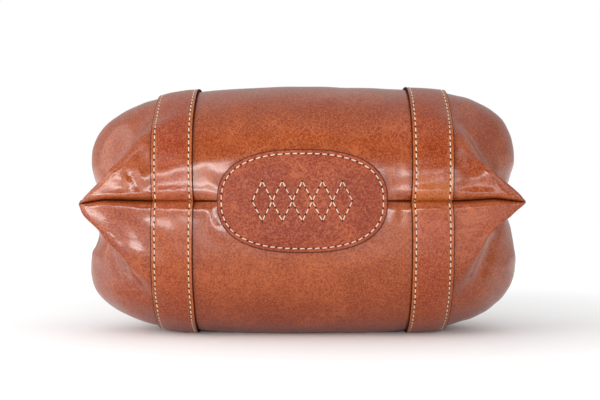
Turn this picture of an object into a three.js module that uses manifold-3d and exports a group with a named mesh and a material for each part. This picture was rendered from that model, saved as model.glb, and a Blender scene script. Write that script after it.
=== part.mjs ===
// A leather toiletry bag, zipped shut and lying on its back panel. Its long base, with the round
// patch, faces -Y, the zip faces +Y and the front panel is on top. Millimetres, +Z up, with the
// middle of the surface that it lies on as the origin.
//
// The skin is worked out in the bag's own terms, on one half (front or back) and one side of it:
//   x  along the bag, out from the middle
//   h  up from the base to the zip
//   d  out from the mid plane, which holds the base seam, both end seams and the zip

import * as THREE from 'three';
import { mergeVertices } from 'three/addons/utils/BufferGeometryUtils.js';
import Module from 'manifold-3d';

// ---- driving dimensions ----------------------------------------------------------------------

const HALF_LENGTH = 144; // middle to the corner that each end lobe rounds off
const HEIGHT = 150; // base to zip
const FRONT_DEPTH = 74; // mid plane to the crown of the front panel
const BACK_DEPTH = 86; // the same of the back panel, as it would be without its own weight
const FLOOR_DEPTH = 84.5; // mid plane to the surface that flattens the back panel

const FLAT_HALF_LENGTH = 48; // of the flattened stretch between the straps
const DIP_X = 49; // from here the flattened panel dips to pass under the straps

const LEATHER = 1.8; // wall of the two panels
const BAND_LEATHER = 1.6; // the four straps sewn over them
const PATCH_LEATHER = 1.9;
const GAP = 0.3; // between pieces that touch
const SEAM_GAP = 0.15; // each half stops this far from the mid plane

const BAND_INNER_X = 66; // the straps' edges
const BAND_OUTER_X = 91.5;
const BAND_RISE = GAP + BAND_LEATHER;

const PATCH_LENGTH = 102.6;
const PATCH_WIDTH = 62.4;
const PATCH_SQUARENESS = 2.5; // exponent of the rounded outline, 2 for an ellipse
const PATCH_GAP = 0.5; // the patch bridges the faceted base a little wider

const TAPE_THICKNESS = 0.8;
const TAPE_HALF_LENGTH = 118;
const CHAIN_HALF_LENGTH = 112;
const CHAIN_WIDTH = 5.6;
const CHAIN_THICKNESS = 1.6;
const SLIDER_X = -98; // the slider rests at the closed end
const ZIP_STEPS = 12; // facets along the tape and the chain

// ---- section tables --------------------------------------------------------------------------

// A row for each section, evenly counted from the base seam to the zip. A section runs from the
// middle of the bag to the fold of the corner, turns round it, and runs down to the end seam.
// midH, foldH and seamH are per cent of HEIGHT, midD and foldD of the half's depth, and the
// others of HALF_LENGTH: back and down say how far before and after the fold it starts to turn.
const COLUMNS = ['midH', 'midD', 'foldX', 'foldH', 'foldD', 'back', 'down', 'seamX', 'seamH'];

const FRONT_ROWS = [
  [0, 0, 95, 4, 0, 3, 3, 94, 9], // base seam, out to the tip of the ear
  [0, 12, 87, 3.5, 11.5, 4, 3.5, 92.5, 12],
  [0, 27, 79, 3, 25.5, 5.5, 4, 90.5, 16],
  [1, 43, 71.5, 3.5, 40.5, 7.5, 5.5, 89.5, 20.5],
  [3.5, 61, 65.5, 6.5, 55.5, 11, 8.5, 90.5, 25.5],
  [9, 76.5, 66, 12, 69, 18, 15, 92.5, 30.5], // foot of the ear
  [17.5, 89, 77, 20, 77.5, 29, 25, 95, 36],
  [28, 97.5, 91.5, 30, 82.5, 40, 32, 95.5, 42],
  [40, 100, 99, 40.5, 85, 46, 32, 96, 48], // crown of the end lobe
  [53.5, 98.5, 100, 53.5, 84, 46, 32, 96, 54.5],
  [66, 92, 97, 66, 77, 41.5, 29, 95, 62.5],
  [77.5, 78.5, 91, 76.5, 65, 33.5, 23.5, 93, 71.5],
  [86.5, 61, 86, 85.5, 48.5, 21, 16.5, 91, 79.5],
  [93.5, 40.5, 85.5, 91.5, 31, 11, 9.5, 89.5, 86.5],
  [98.5, 23, 87.5, 96, 18, 5.5, 4, 89, 92],
  [100, 9.5, 90, 97.5, 5.5, 3, 2, 89.5, 95.5], // zip
];

const BACK_ROWS = [
  [0, 0, 95, 4, 0, 3, 3, 94, 9],
  [0, 12, 88, 3.5, 11.5, 4, 3.5, 92.5, 12],
  [0, 28, 80, 3, 26.5, 5.5, 4, 90.5, 16],
  [1, 44, 73.5, 3.5, 42.5, 7.5, 5.5, 89.5, 20.5],
  [3.5, 60.5, 67.5, 6.5, 57.5, 11, 8.5, 90.5, 25.5],
  [8.5, 75.5, 67.5, 11.5, 71, 17.5, 14, 92.5, 30.5],
  [16.5, 88.5, 78.5, 18.5, 80, 26.5, 23.5, 95, 36],
  [28, 97.5, 91.5, 29.5, 85.5, 36, 33.5, 95.5, 42],
  [40, 101.5, 99, 40.5, 87, 40.5, 36, 96, 48],
  [53.5, 101, 100, 53.5, 86, 40.5, 36, 96, 54.5],
  [66, 93.5, 97, 66, 79, 37.5, 32, 95, 62.5],
  [77.5, 78, 91, 76.5, 67.5, 32, 25, 93, 71.5],
  [86.5, 58, 86, 85.5, 50, 21, 18, 91, 79.5],
  [93.5, 37, 85.5, 91.5, 31.5, 11, 9.5, 89.5, 86.5],
  [98.5, 20, 87.5, 96, 16, 5.5, 4, 89, 92],
  [100, 8, 90, 97.5, 4.5, 3, 2, 89.5, 95.5],
];

// How the four corner lobes differ, in millimetres: reach out along the bag, depth of the fold,
// and the length of the turn before (back) and after it (down).
const CORNERS = {
  frontLeft: { reach: 0.5, depth: -4, back: 8, down: 0 },
  frontRight: { reach: 1, depth: 2, back: -5, down: 0 },
  backLeft: { reach: -1.5, depth: 0, back: 13, down: -13 },
  backRight: { reach: 1, depth: 0, back: 10, down: -6 },
};
const LOBE = { start: 4, full: 7, fade: 10, end: 14 }; // section rows that a corner's row acts on

// How much further out than the tables each ear's ridge lies, in millimetres, on rows 1 to 5.
const EARS = {
  frontLeft: [2, 4, 6, 7, 1],
  frontRight: [3, 3, 3.5, 7, 4],
  backLeft: [6, 6, 5, 4, 0],
  backRight: [1, -1, 0, 3, 2],
};

// Where the seams draw the leather in: [distance, depth] along x for the base, along h for an end.
const BASE_PINCH = [[0, 0.6], [50, 0.6], [60, 3], [80, 5], [110, 4.5], [128, 2], [134, 0]];
const BASE_PINCH_WIDTH = 7;
const BASE_PINCH_SHARE = 0.2; // of the way from the base seam to the zip
const END_PINCH = [[10, 0], [20, 2.5], [35, 6], [60, 8], [110, 7], [130, 4], [142, 0]];
const END_PINCH_WIDTH = 14;

// ---- small helpers ---------------------------------------------------------------------------

const clamp = THREE.MathUtils.clamp;
const smooth = (value, from, to) => THREE.MathUtils.smoothstep(value, from, to);

function interpolate(table, at) {
  if (at <= table[0][0]) return table[0][1];
  for (let i = 1; i < table.length; i++) {
    const [x0, y0] = table[i - 1];
    const [x1, y1] = table[i];
    if (at <= x1) return y0 + ((y1 - y0) * (at - x0)) / (x1 - x0);
  }
  return table[table.length - 1][1];
}

const HALVINGS = 40;

function bisect(test, low, high) {
  for (let i = 0; i < HALVINGS; i++) {
    const middle = (low + high) / 2;
    if (test(middle)) low = middle;
    else high = middle;
  }
  return (low + high) / 2;
}

const steps = (from, to, count) =>
  Array.from({ length: count + 1 }, (_, i) => from + ((to - from) * i) / count);

// ---- the skin --------------------------------------------------------------------------------

const STEP = 0.002; // of w and u, for differences
const MITRE_LIMIT = 1.6; // how far a rim point moves, as a multiple of the wall
const FLAT_SHARE = 0.5; // of u, from the middle to the start of the corner's turn
const TURN_SHARE = 0.8; // of u, to the end of the turn
const LONGEST_TURN = 0.92; // of the way from the fold to the end seam
const BASE_SHARE = 0.4; // of w, within which the base lies

// A quarter of the skin: one half of the bag on one side of its middle.
class Quarter {
  constructor(half, side) {
    this.half = half;
    this.side = side;
    const depth = half === 'front' ? FRONT_DEPTH : BACK_DEPTH;
    const units = [HEIGHT, depth, HALF_LENGTH, HEIGHT, depth, HALF_LENGTH, HALF_LENGTH,
      HALF_LENGTH, HEIGHT];
    const corner = CORNERS[half + (side > 0 ? 'Right' : 'Left')];
    const ear = [0, ...EARS[half + (side > 0 ? 'Right' : 'Left')]];
    this.rows = (half === 'front' ? FRONT_ROWS : BACK_ROWS).map((row, n) => {
      const values = row.map((value, i) => (value * units[i]) / 100);
      const lobe = smooth(n, LOBE.start, LOBE.full) * (1 - smooth(n, LOBE.fade, LOBE.end));
      values[COLUMNS.indexOf('foldX')] += corner.reach * lobe + (ear[n] ?? 0);
      values[COLUMNS.indexOf('foldD')] += corner.depth * lobe;
      values[COLUMNS.indexOf('back')] += corner.back * lobe;
      values[COLUMNS.indexOf('down')] += corner.down * lobe;
      return values;
    });
  }

  // The section's sizes at w, 0 at the base seam and 1 at the zip.
  section(w) {
    const last = this.rows.length - 1;
    const at = clamp(w, 0, 1) * last;
    const i = Math.min(Math.floor(at), last - 1);
    const f = at - i;
    const row = (n) => this.rows[n];
    const slope = (n, c) => {
      if (n === 0) return row(1)[c] - row(0)[c];
      if (n === last) return row(last)[c] - row(last - 1)[c];
      return (row(n + 1)[c] - row(n - 1)[c]) / 2;
    };
    const sizes = {};
    COLUMNS.forEach((name, c) => {
      sizes[name] = (2 * f ** 3 - 3 * f ** 2 + 1) * row(i)[c]
        + (f ** 3 - 2 * f ** 2 + f) * slope(i, c)
        + (3 * f ** 2 - 2 * f ** 3) * row(i + 1)[c]
        + (f ** 3 - f ** 2) * slope(i + 1, c);
    });
    return sizes;
  }

  // The loose skin at w, with u from 0 in the middle of the bag to 1 at the end seam.
  loose(w, u) {
    const s = this.section(w);
    const riseH = s.foldH - s.midH;
    const riseD = s.foldD - s.midD;
    const flat = (x) => new THREE.Vector3(
      x, s.midH + riseH * (x / s.foldX) ** 2, s.midD + riseD * (x / s.foldX) ** 2);
    const turnX = s.foldX - s.back;
    if (u <= FLAT_SHARE) return this.flattened(flat((turnX * u) / FLAT_SHARE));
    const a = flat(turnX);
    const lean = (2 * turnX) / s.foldX ** 2;
    const c = a.clone().addScaledVector(new THREE.Vector3(1, riseH * lean, riseD * lean), s.back);
    const seam = new THREE.Vector3(s.seamX, s.seamH, 0);
    const run = seam.clone().sub(c);
    const down = Math.min(s.down, LONGEST_TURN * run.length());
    const b = c.clone().addScaledVector(run.normalize(), down);
    if (u >= TURN_SHARE) return this.flattened(b.lerp(seam, (u - TURN_SHARE) / (1 - TURN_SHARE)));
    const f = (u - FLAT_SHARE) / (TURN_SHARE - FLAT_SHARE);
    return this.flattened(a.multiplyScalar((1 - f) ** 2)
      .addScaledVector(c, 2 * f * (1 - f)).addScaledVector(b, f * f));
  }

  // The back panel lies flat, and its straps lie flush with it.
  flattened(p) {
    if (this.half === 'back') {
      const dip = clamp((p.x - DIP_X) / (BAND_INNER_X - DIP_X), 0, 1);
      p.z = Math.min(p.z, FLOOR_DEPTH - BAND_RISE * dip);
    }
    return p;
  }

  normalOf(surface, w, u) {
    const w0 = Math.max(w - STEP, 0);
    const w1 = Math.min(w + STEP, 1);
    const u0 = Math.max(u - STEP, 0);
    const u1 = Math.min(u + STEP, 1);
    const along = surface(w, u1).sub(surface(w, u0));
    const up = surface(w1, u).sub(surface(w0, u));
    return along.cross(up).normalize();
  }

  // The skin with its seams drawn in.
  point(w, u) {
    const p = this.loose(w, u);
    const n = this.normalOf((a, b) => this.loose(a, b), w, u);
    const level = Math.hypot(n.x, n.y) || 1;
    const inward = new THREE.Vector3(-n.x / level, -n.y / level, 0);
    const base = interpolate(BASE_PINCH, p.x) * Math.exp(-p.z / BASE_PINCH_WIDTH)
      * clamp(1 - w / BASE_PINCH_SHARE, 0, 1);
    const end = interpolate(END_PINCH, p.y) * Math.exp(-p.z / END_PINCH_WIDTH)
      * clamp((u - FLAT_SHARE) / (TURN_SHARE - FLAT_SHARE), 0, 1);
    return p.addScaledVector(inward, base + end);
  }

  // A point of a layer that lies `off` outside the skin (inside it if negative). A layer is cut
  // square at the mid plane, so the points of its rim move within that plane.
  layer(w, u, off) {
    const p = this.point(w, u);
    const n = this.normalOf((a, b) => this.point(a, b), w, u);
    if (w === 0 || u === 1) {
      const outward = this.rimNormal(w, u);
      const level = Math.hypot(n.x, n.y);
      p.addScaledVector(outward, off * clamp(1 / level, 1, MITRE_LIMIT));
      p.z = SEAM_GAP;
    } else {
      p.addScaledVector(n, off);
      p.z = Math.max(p.z, SEAM_GAP);
    }
    return this.place(p);
  }

  // Outward across the rim, within the mid plane: the rim runs out along the base seam, turns
  // at the tip and runs up the end seam.
  rimNormal(w, u) {
    if (u === 0) return new THREE.Vector3(0, -1, 0);
    const before = w === 0 ? this.point(0, u - STEP) : this.point(w - STEP, 1);
    const after = u === 1 ? this.point(Math.min(w + STEP, 1), 1) : this.point(0, u + STEP);
    const ahead = after.sub(before);
    return new THREE.Vector3(ahead.y, -ahead.x, 0).normalize();
  }

  // From the bag's own terms to where it lies.
  place(p) {
    return new THREE.Vector3(this.side * p.x, p.y,
      FLOOR_DEPTH + (this.half === 'front' ? p.z : -p.z));
  }

  // The u at which the section at w passes x.
  acrossAt(w, x) {
    return bisect((u) => this.point(w, u).x < x, 0, TURN_SHARE);
  }

  // Height of the loose base skin under a place on it.
  baseHeight(x, d) {
    const at = (w) => {
      const s = this.section(w);
      const share = (x / s.foldX) ** 2;
      return { h: s.midH + (s.foldH - s.midH) * share, d: s.midD + (s.foldD - s.midD) * share };
    };
    return at(bisect((w) => at(w).d < d, 0, BASE_SHARE)).h;
  }
}

const quarters = {};
for (const half of ['front', 'back']) {
  quarters[half] = { right: new Quarter(half, 1), left: new Quarter(half, -1) };
}

// ---- solids from grids of points -------------------------------------------------------------

// A closed solid between an outer and an inner grid of points, rimmed all round.
function shell(outer, inner) {
  const rows = outer.length;
  const columns = outer[0].length;
  const positions = [];
  [outer, inner].forEach((grid) => grid.flat().forEach((p) => positions.push(p.x, p.y, p.z)));
  const out = (r, c) => r * columns + c;
  const inn = (r, c) => rows * columns + r * columns + c;
  const faces = [];
  const quad = (a, b, c, d) => faces.push([a, b, c], [a, c, d]);
  for (let r = 0; r < rows - 1; r++) {
    for (let c = 0; c < columns - 1; c++) {
      quad(out(r, c), out(r, c + 1), out(r + 1, c + 1), out(r + 1, c));
      quad(inn(r + 1, c + 1), inn(r, c + 1), inn(r, c), inn(r + 1, c));
    }
  }
  for (let c = 0; c < columns - 1; c++) {
    quad(out(0, c + 1), out(0, c), inn(0, c), inn(0, c + 1));
    quad(out(rows - 1, c), out(rows - 1, c + 1), inn(rows - 1, c + 1), inn(rows - 1, c));
  }
  for (let r = 0; r < rows - 1; r++) {
    quad(out(r, 0), out(r + 1, 0), inn(r + 1, 0), inn(r, 0));
    quad(out(r + 1, columns - 1), out(r, columns - 1), inn(r, columns - 1), inn(r + 1, columns - 1));
  }
  return solid(positions, faces);
}

// A geometry with its faces turned outwards.
function solid(positions, faces) {
  const corner = (i) => new THREE.Vector3(...positions.slice(3 * i, 3 * i + 3));
  const volume = faces.reduce(
    (sum, [a, b, c]) => sum + corner(a).dot(corner(b).cross(corner(c))), 0);
  const turned = volume < 0 ? faces.map(([a, b, c]) => [a, c, b]) : faces;
  const geometry = new THREE.BufferGeometry();
  geometry.setAttribute('position', new THREE.Float32BufferAttribute(positions, 3));
  geometry.setIndex(turned.flat());
  geometry.computeVertexNormals();
  return geometry;
}

// ---- panels and straps -----------------------------------------------------------------------

// Sections at which the skin is faceted: close together at the base seam and in the ears.
const SECTION_ROWS = [0, 0.25, 0.5, ...steps(1, 10, 18), 11, 12, 13, 14, 14.5, 15]
  .map((n) => n / 15);
const MIDDLE_X = [0, FLAT_HALF_LENGTH / 2, FLAT_HALF_LENGTH]; // columns between the straps
const BAND_X = [BAND_INNER_X, (BAND_INNER_X + BAND_OUTER_X) / 2, BAND_OUTER_X];
const END_COLUMNS = 10; // from the strap to the end seam

function columnsOf(quarter, w) {
  const known = [...MIDDLE_X, ...BAND_X].map((x) => (x === 0 ? 0 : quarter.acrossAt(w, x)));
  return [...known, ...steps(known[known.length - 1], 1, END_COLUMNS).slice(1)];
}

function panel(half) {
  const { left, right } = quarters[half];
  const grid = (off) => SECTION_ROWS.map((w) => [
    ...columnsOf(left, w).slice(1).reverse().map((u) => left.layer(w, u, off)),
    ...columnsOf(right, w).map((u) => right.layer(w, u, off)),
  ]);
  return shell(grid(0), grid(-LEATHER));
}

function band(half, side) {
  const quarter = quarters[half][side];
  const grid = (off) => SECTION_ROWS.map((w) => {
    const row = BAND_X.map((x) => quarter.layer(w, quarter.acrossAt(w, x), off));
    return side === 'left' ? row.reverse() : row;
  });
  return shell(grid(BAND_RISE), grid(GAP));
}

// ---- base patch ------------------------------------------------------------------------------

// A rounded plate sewn over the middle of the base, with its edge turned in.
const PATCH_SPOKES = 32;

function basePatch() {
  const spokes = PATCH_SPOKES;
  const rings = [ // share of the outline, and depth below the face
    [0.4, 0], [0.75, 0], [0.96, 0], [1, 0.5],
    [1, PATCH_LEATHER], [0.75, PATCH_LEATHER], [0.4, PATCH_LEATHER],
  ];
  const at = (x, d, depth) => {
    const quarter = quarters[d > 0 ? 'front' : 'back'].right;
    const h = quarter.baseHeight(Math.abs(x), Math.abs(d)) - PATCH_GAP - PATCH_LEATHER + depth;
    return [x, h, FLOOR_DEPTH + d];
  };
  const round = (value) => Math.sign(value) * Math.abs(value) ** (2 / PATCH_SQUARENESS);
  const positions = [...at(0, 0, 0), ...at(0, 0, PATCH_LEATHER)];
  for (const [share, depth] of rings) {
    for (let i = 0; i < spokes; i++) {
      const turn = (2 * Math.PI * (i + 0.5)) / spokes;
      positions.push(...at((share * round(Math.cos(turn)) * PATCH_LENGTH) / 2,
        (share * round(Math.sin(turn)) * PATCH_WIDTH) / 2, depth));
    }
  }
  const ring = (r, i) => 2 + r * spokes + (i % spokes);
  const faces = [];
  for (let i = 0; i < spokes; i++) {
    faces.push([0, ring(0, i + 1), ring(0, i)]);
    faces.push([1, ring(rings.length - 1, i), ring(rings.length - 1, i + 1)]);
    for (let r = 0; r < rings.length - 1; r++) {
      faces.push([ring(r, i), ring(r, i + 1), ring(r + 1, i + 1)]);
      faces.push([ring(r, i), ring(r + 1, i + 1), ring(r + 1, i)]);
    }
  }
  return solid(positions, faces);
}

// ---- zip -------------------------------------------------------------------------------------

const TAPE_TOP = -(LEATHER + GAP); // the tape lies just under the panels' edges
const TAPE_UNDER = TAPE_TOP - TAPE_THICKNESS;

// Top of the tape along its middle.
function tapeTop(x) {
  const quarter = quarters.front[x < 0 ? 'left' : 'right'];
  return quarter.layer(1, quarter.acrossAt(1, Math.abs(x)), TAPE_TOP).y;
}

// One ribbon under both edges of the mouth.
function zipperTape() {
  const underPanel = [14, 14.5, 15].map((n) => n / 15);
  const across = [
    ...underPanel.map((w) => ['front', w]), ['middle', 1],
    ...underPanel.toReversed().map((w) => ['back', w]),
  ];
  const grid = (off) => steps(-TAPE_HALF_LENGTH, TAPE_HALF_LENGTH, ZIP_STEPS).map((x) =>
    across.map(([half, w]) => {
      if (half === 'middle') return new THREE.Vector3(x, tapeTop(x) + off - TAPE_TOP, FLOOR_DEPTH);
      const quarter = quarters[half][x < 0 ? 'left' : 'right'];
      return quarter.layer(w, quarter.acrossAt(w, Math.abs(x)), off);
    }));
  return shell(grid(TAPE_TOP), grid(TAPE_UNDER));
}

// The closed chain of teeth, as one strip.
function zipperTeeth() {
  const grid = (rise) => steps(-CHAIN_HALF_LENGTH, CHAIN_HALF_LENGTH, ZIP_STEPS).map((x) =>
    [-CHAIN_WIDTH / 2, CHAIN_WIDTH / 2].map((d) =>
      new THREE.Vector3(x, tapeTop(x) + rise, FLOOR_DEPTH + d)));
  return shell(grid(GAP + CHAIN_THICKNESS), grid(GAP));
}

// The slider and its pull, one plain piece: a bridge over the chain with the pull lying on it.
// The pull starts `overhang` behind the slider's middle and reaches `root` into its plate.
const slider = { length: 13, width: 8.6, plate: 1.4 };
const pullTab = { length: 30, width: 7.5, thickness: 2, overhang: 2, root: 0.3 };

async function zipperSlider() {
  const wasm = await Module();
  wasm.setup();
  const block = (length, height, width, x, y, z = 0) => {
    const box = new THREE.BoxGeometry(length, height, width);
    box.deleteAttribute('normal');
    box.deleteAttribute('uv');
    box.translate(x, y + height / 2, z);
    const merged = mergeVertices(box);
    return new wasm.Manifold(new wasm.Mesh({
      numProp: 3,
      vertProperties: new Float32Array(merged.attributes.position.array),
      triVerts: new Uint32Array(merged.index.array),
    }));
  };
  const chainTop = GAP + CHAIN_THICKNESS; // heights over the tape
  const cheekWidth = (slider.width - CHAIN_WIDTH) / 2 - GAP;
  const cheekZ = (slider.width - cheekWidth) / 2;
  const cheekHeight = chainTop + slider.plate;
  const pullX = pullTab.length / 2 - pullTab.overhang;
  const pullY = chainTop + GAP + slider.plate - pullTab.root;
  const joined = block(slider.length, slider.plate, slider.width, 0, chainTop + GAP)
    .add(block(slider.length, cheekHeight, cheekWidth, 0, GAP, cheekZ))
    .add(block(slider.length, cheekHeight, cheekWidth, 0, GAP, -cheekZ))
    .add(block(pullTab.length, pullTab.thickness, pullTab.width, pullX, pullY));
  const { vertProperties, triVerts } = joined.getMesh();
  const geometry = new THREE.BufferGeometry();
  geometry.setAttribute('position', new THREE.Float32BufferAttribute(vertProperties, 3));
  geometry.setIndex(Array.from(triVerts));
  geometry.computeVertexNormals();
  return geometry;
}

// ---- the bag ---------------------------------------------------------------------------------

const leather = new THREE.MeshStandardMaterial({ color: 0xa8552f, roughness: 0.45, metalness: 0 });
const strapLeather = new THREE.MeshStandardMaterial({ color: 0x9c4e2b, roughness: 0.45, metalness: 0 });
const patchLeather = new THREE.MeshStandardMaterial({ color: 0xa05a42, roughness: 0.5, metalness: 0 });
const tapeCloth = new THREE.MeshStandardMaterial({ color: 0x4a2a1c, roughness: 0.9, metalness: 0 });
const brass = new THREE.MeshStandardMaterial({ color: 0xa0804a, roughness: 0.35, metalness: 1 });

const bag = new THREE.Group();
const add = (name, geometry, material) => {
  const mesh = new THREE.Mesh(geometry, material);
  mesh.name = name;
  bag.add(mesh);
  return mesh;
};

for (const half of ['front', 'back']) {
  add(`${half}_panel`, panel(half), leather);
  for (const side of ['left', 'right']) add(`band_${half}_${side}`, band(half, side), strapLeather);
}
add('base_patch', basePatch(), patchLeather);
add('zipper_tape', zipperTape(), tapeCloth);
add('zipper_teeth', zipperTeeth(), brass);

// The slider lies along the tape, as steep as the tape is under its pull.
const puller = add('zipper_slider', await zipperSlider(), brass);
const rise = tapeTop(SLIDER_X + pullTab.length) - tapeTop(SLIDER_X);
puller.position.set(SLIDER_X, tapeTop(SLIDER_X), FLOOR_DEPTH);
puller.rotation.z = Math.atan(rise / pullTab.length);

// The bottom centre of the whole bag's box becomes the origin.
const box = new THREE.Box3().setFromObject(bag);
const centre = box.getCenter(new THREE.Vector3());
bag.position.set(-centre.x, -centre.y, -box.min.z);

export default bag;
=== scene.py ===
"""A leather toiletry bag, zipped shut and lying on its back panel.

The skin is worked out in the bag's own terms, in millimetres, on one half (front or back) and one
side (right or left) of it:
    x  along the bag, out from the middle
    h  up from the base to the zip
    d  out from the mid plane, which holds the base seam, both end seams and the zip
The front panel is on top, and the base faces -Y.
"""

import math

import bmesh
import bpy
import numpy as np
from mathutils import Matrix, Vector


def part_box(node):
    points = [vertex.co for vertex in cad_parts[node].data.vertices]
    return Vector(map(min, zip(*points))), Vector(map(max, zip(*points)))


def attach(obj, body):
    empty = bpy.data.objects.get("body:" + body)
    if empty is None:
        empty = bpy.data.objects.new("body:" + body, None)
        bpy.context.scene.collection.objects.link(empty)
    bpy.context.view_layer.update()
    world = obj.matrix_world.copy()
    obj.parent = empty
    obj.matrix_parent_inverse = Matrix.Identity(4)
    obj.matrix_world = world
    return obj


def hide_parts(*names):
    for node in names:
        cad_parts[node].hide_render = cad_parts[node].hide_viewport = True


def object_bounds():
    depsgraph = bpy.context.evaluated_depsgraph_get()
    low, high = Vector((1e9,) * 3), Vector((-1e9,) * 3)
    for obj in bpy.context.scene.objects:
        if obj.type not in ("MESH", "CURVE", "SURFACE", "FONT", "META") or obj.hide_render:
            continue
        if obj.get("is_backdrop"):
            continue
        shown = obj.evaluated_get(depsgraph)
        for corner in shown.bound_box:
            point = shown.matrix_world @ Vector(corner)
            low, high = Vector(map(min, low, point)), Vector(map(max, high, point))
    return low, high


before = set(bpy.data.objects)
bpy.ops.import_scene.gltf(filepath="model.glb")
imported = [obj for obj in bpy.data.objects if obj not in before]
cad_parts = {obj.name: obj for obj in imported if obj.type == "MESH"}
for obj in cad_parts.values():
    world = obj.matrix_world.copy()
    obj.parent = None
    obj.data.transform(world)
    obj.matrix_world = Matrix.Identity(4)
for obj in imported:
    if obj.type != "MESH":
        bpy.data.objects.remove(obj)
CAD_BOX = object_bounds()

bl_info = {
    "name": "Toiletry bag",
    "version": (1, 0, 0),
    "blender": (4, 5, 0),
    "location": "View3D > Sidebar > Bag",
    "description": "Dresses the frame of a leather toiletry bag",
    "category": "Object",
}

# ---- place and size, from the frame ------------------------------------------------------------

MM = 0.001
# What the section tables' per cents are taken of.
HALF_LENGTH = 144.0
HEIGHT = 150.0
FRONT_DEPTH = 74.0
BACK_DEPTH = 86.0

FLOOR_DEPTH = 84.5  # the back is flattened at this distance from the mid plane
DIP_X = 49.0  # from here to the straps it rises, by the room that they need under it

LEATHER = 1.8
BAND_LEATHER = 1.6
PATCH_LEATHER = 1.9
GAP = 0.3  # between two pieces
BAND_RISE = GAP + BAND_LEATHER
BAND_INNER_X = 66.0
BAND_OUTER_X = 91.5
BAND_WIDTH = BAND_OUTER_X - BAND_INNER_X
PATCH_GAP = 0.5
SEAM_GAP = 0.15  # each half stops this far from the mid plane

PATCH_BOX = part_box("base_patch")
SEAM_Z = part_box("front_panel")[0].z / MM - SEAM_GAP  # height of the mid plane over the floor
CENTRE_X = (PATCH_BOX[0].x + PATCH_BOX[1].x) / 2 / MM
BASE_Y = PATCH_BOX[0].y / MM + PATCH_LEATHER + PATCH_GAP  # the base skin, under the patch

# ---- section tables ----------------------------------------------------------------------------

# A row for each section, evenly counted from the base seam to the zip. A section runs from the
# middle of the bag to the fold of the corner, turns round it, and runs down to the end seam.
# mid_h, fold_h and seam_h are per cent of HEIGHT, mid_d and fold_d of the half's depth, and the
# others of HALF_LENGTH: back and down say how far before and after the fold it starts to turn.
COLUMNS = ("mid_h", "mid_d", "fold_x", "fold_h", "fold_d", "back", "down", "seam_x", "seam_h")
FRONT_ROWS = (
    (0, 0, 95, 4, 0, 3, 3, 94, 9),  # base seam, out to the tip of the ear
    (0, 12, 87, 3.5, 11.5, 4, 3.5, 92.5, 12),
    (0, 27, 79, 3, 25.5, 5.5, 4, 90.5, 16),
    (1, 43, 71.5, 3.5, 40.5, 7.5, 5.5, 89.5, 20.5),
    (3.5, 61, 65.5, 6.5, 55.5, 11, 8.5, 90.5, 25.5),
    (9, 76.5, 66, 12, 69, 18, 15, 92.5, 30.5),  # foot of the ear
    (17.5, 89, 77, 20, 77.5, 29, 25, 95, 36),
    (28, 97.5, 91.5, 30, 82.5, 40, 32, 95.5, 42),
    (40, 100, 99, 40.5, 85, 46, 32, 96, 48),  # crown of the end lobe
    (53.5, 98.5, 100, 53.5, 84, 46, 32, 96, 54.5),
    (66, 92, 97, 66, 77, 41.5, 29, 95, 62.5),
    (77.5, 78.5, 91, 76.5, 65, 33.5, 23.5, 93, 71.5),
    (86.5, 61, 86, 85.5, 48.5, 21, 16.5, 91, 79.5),
    (93.5, 40.5, 85.5, 91.5, 31, 11, 9.5, 89.5, 86.5),
    (98.5, 23, 87.5, 96, 18, 5.5, 4, 89, 92),
    (100, 9.5, 90, 97.5, 5.5, 3, 2, 89.5, 95.5),  # zip
)
BACK_ROWS = (
    (0, 0, 95, 4, 0, 3, 3, 94, 9),
    (0, 12, 88, 3.5, 11.5, 4, 3.5, 92.5, 12),
    (0, 28, 80, 3, 26.5, 5.5, 4, 90.5, 16),
    (1, 44, 73.5, 3.5, 42.5, 7.5, 5.5, 89.5, 20.5),
    (3.5, 60.5, 67.5, 6.5, 57.5, 11, 8.5, 90.5, 25.5),
    (8.5, 75.5, 67.5, 11.5, 71, 17.5, 14, 92.5, 30.5),
    (16.5, 88.5, 78.5, 18.5, 80, 26.5, 23.5, 95, 36),
    (28, 97.5, 91.5, 29.5, 85.5, 36, 33.5, 95.5, 42),
    (40, 101.5, 99, 40.5, 87, 40.5, 36, 96, 48),
    (53.5, 101, 100, 53.5, 86, 40.5, 36, 96, 54.5),
    (66, 93.5, 97, 66, 79, 37.5, 32, 95, 62.5),
    (77.5, 78, 91, 76.5, 67.5, 32, 25, 93, 71.5),
    (86.5, 58, 86, 85.5, 50, 21, 18, 91, 79.5),
    (93.5, 37, 85.5, 91.5, 31.5, 11, 9.5, 89.5, 86.5),
    (98.5, 20, 87.5, 96, 16, 5.5, 4, 89, 92),
    (100, 8, 90, 97.5, 4.5, 3, 2, 89.5, 95.5),
)
# How the four corner lobes differ, in millimetres: reach, depth, back, down.
CORNERS = {
    ("front", "left"): (0.5, -4, 8, 0),
    ("front", "right"): (1, 2, -5, 0),
    ("back", "left"): (-1.5, 0, 13, -13),
    ("back", "right"): (1, 0, 10, -6),
}
LOBE_ROWS = (4, 7, 10, 14)  # a corner's row acts fully on the rows between the middle two
# How far out along the bag each ear's ridge lies from the table, on the rows after the first.
EARS = {
    ("front", "left"): (2, 4, 6, 7, 1),
    ("front", "right"): (3, 3, 3.5, 7, 4),
    ("back", "left"): (6, 6, 5, 4, 0),
    ("back", "right"): (1, -1, 0, 3, 2),
}

# How far the seams draw the leather in: places along the bag, or over the base, and depths there.
BASE_PINCH = ((0, 50, 60, 80, 110, 128, 134), (0.6, 0.6, 3, 5, 4.5, 2, 0))
BASE_PINCH_END = 0.2  # of w
END_PINCH = ((10, 20, 35, 60, 110, 130, 142), (0, 2.5, 6, 8, 7, 4, 0))
END_PINCH_REACH = 14.0

FLAT_SHARE = 0.5  # of u, from the middle to the start of the corner's turn
TURN_SHARE = 0.8  # of u, to the end of the turn
LONGEST_TURN = 0.92  # of the way from the fold to the end seam


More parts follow.
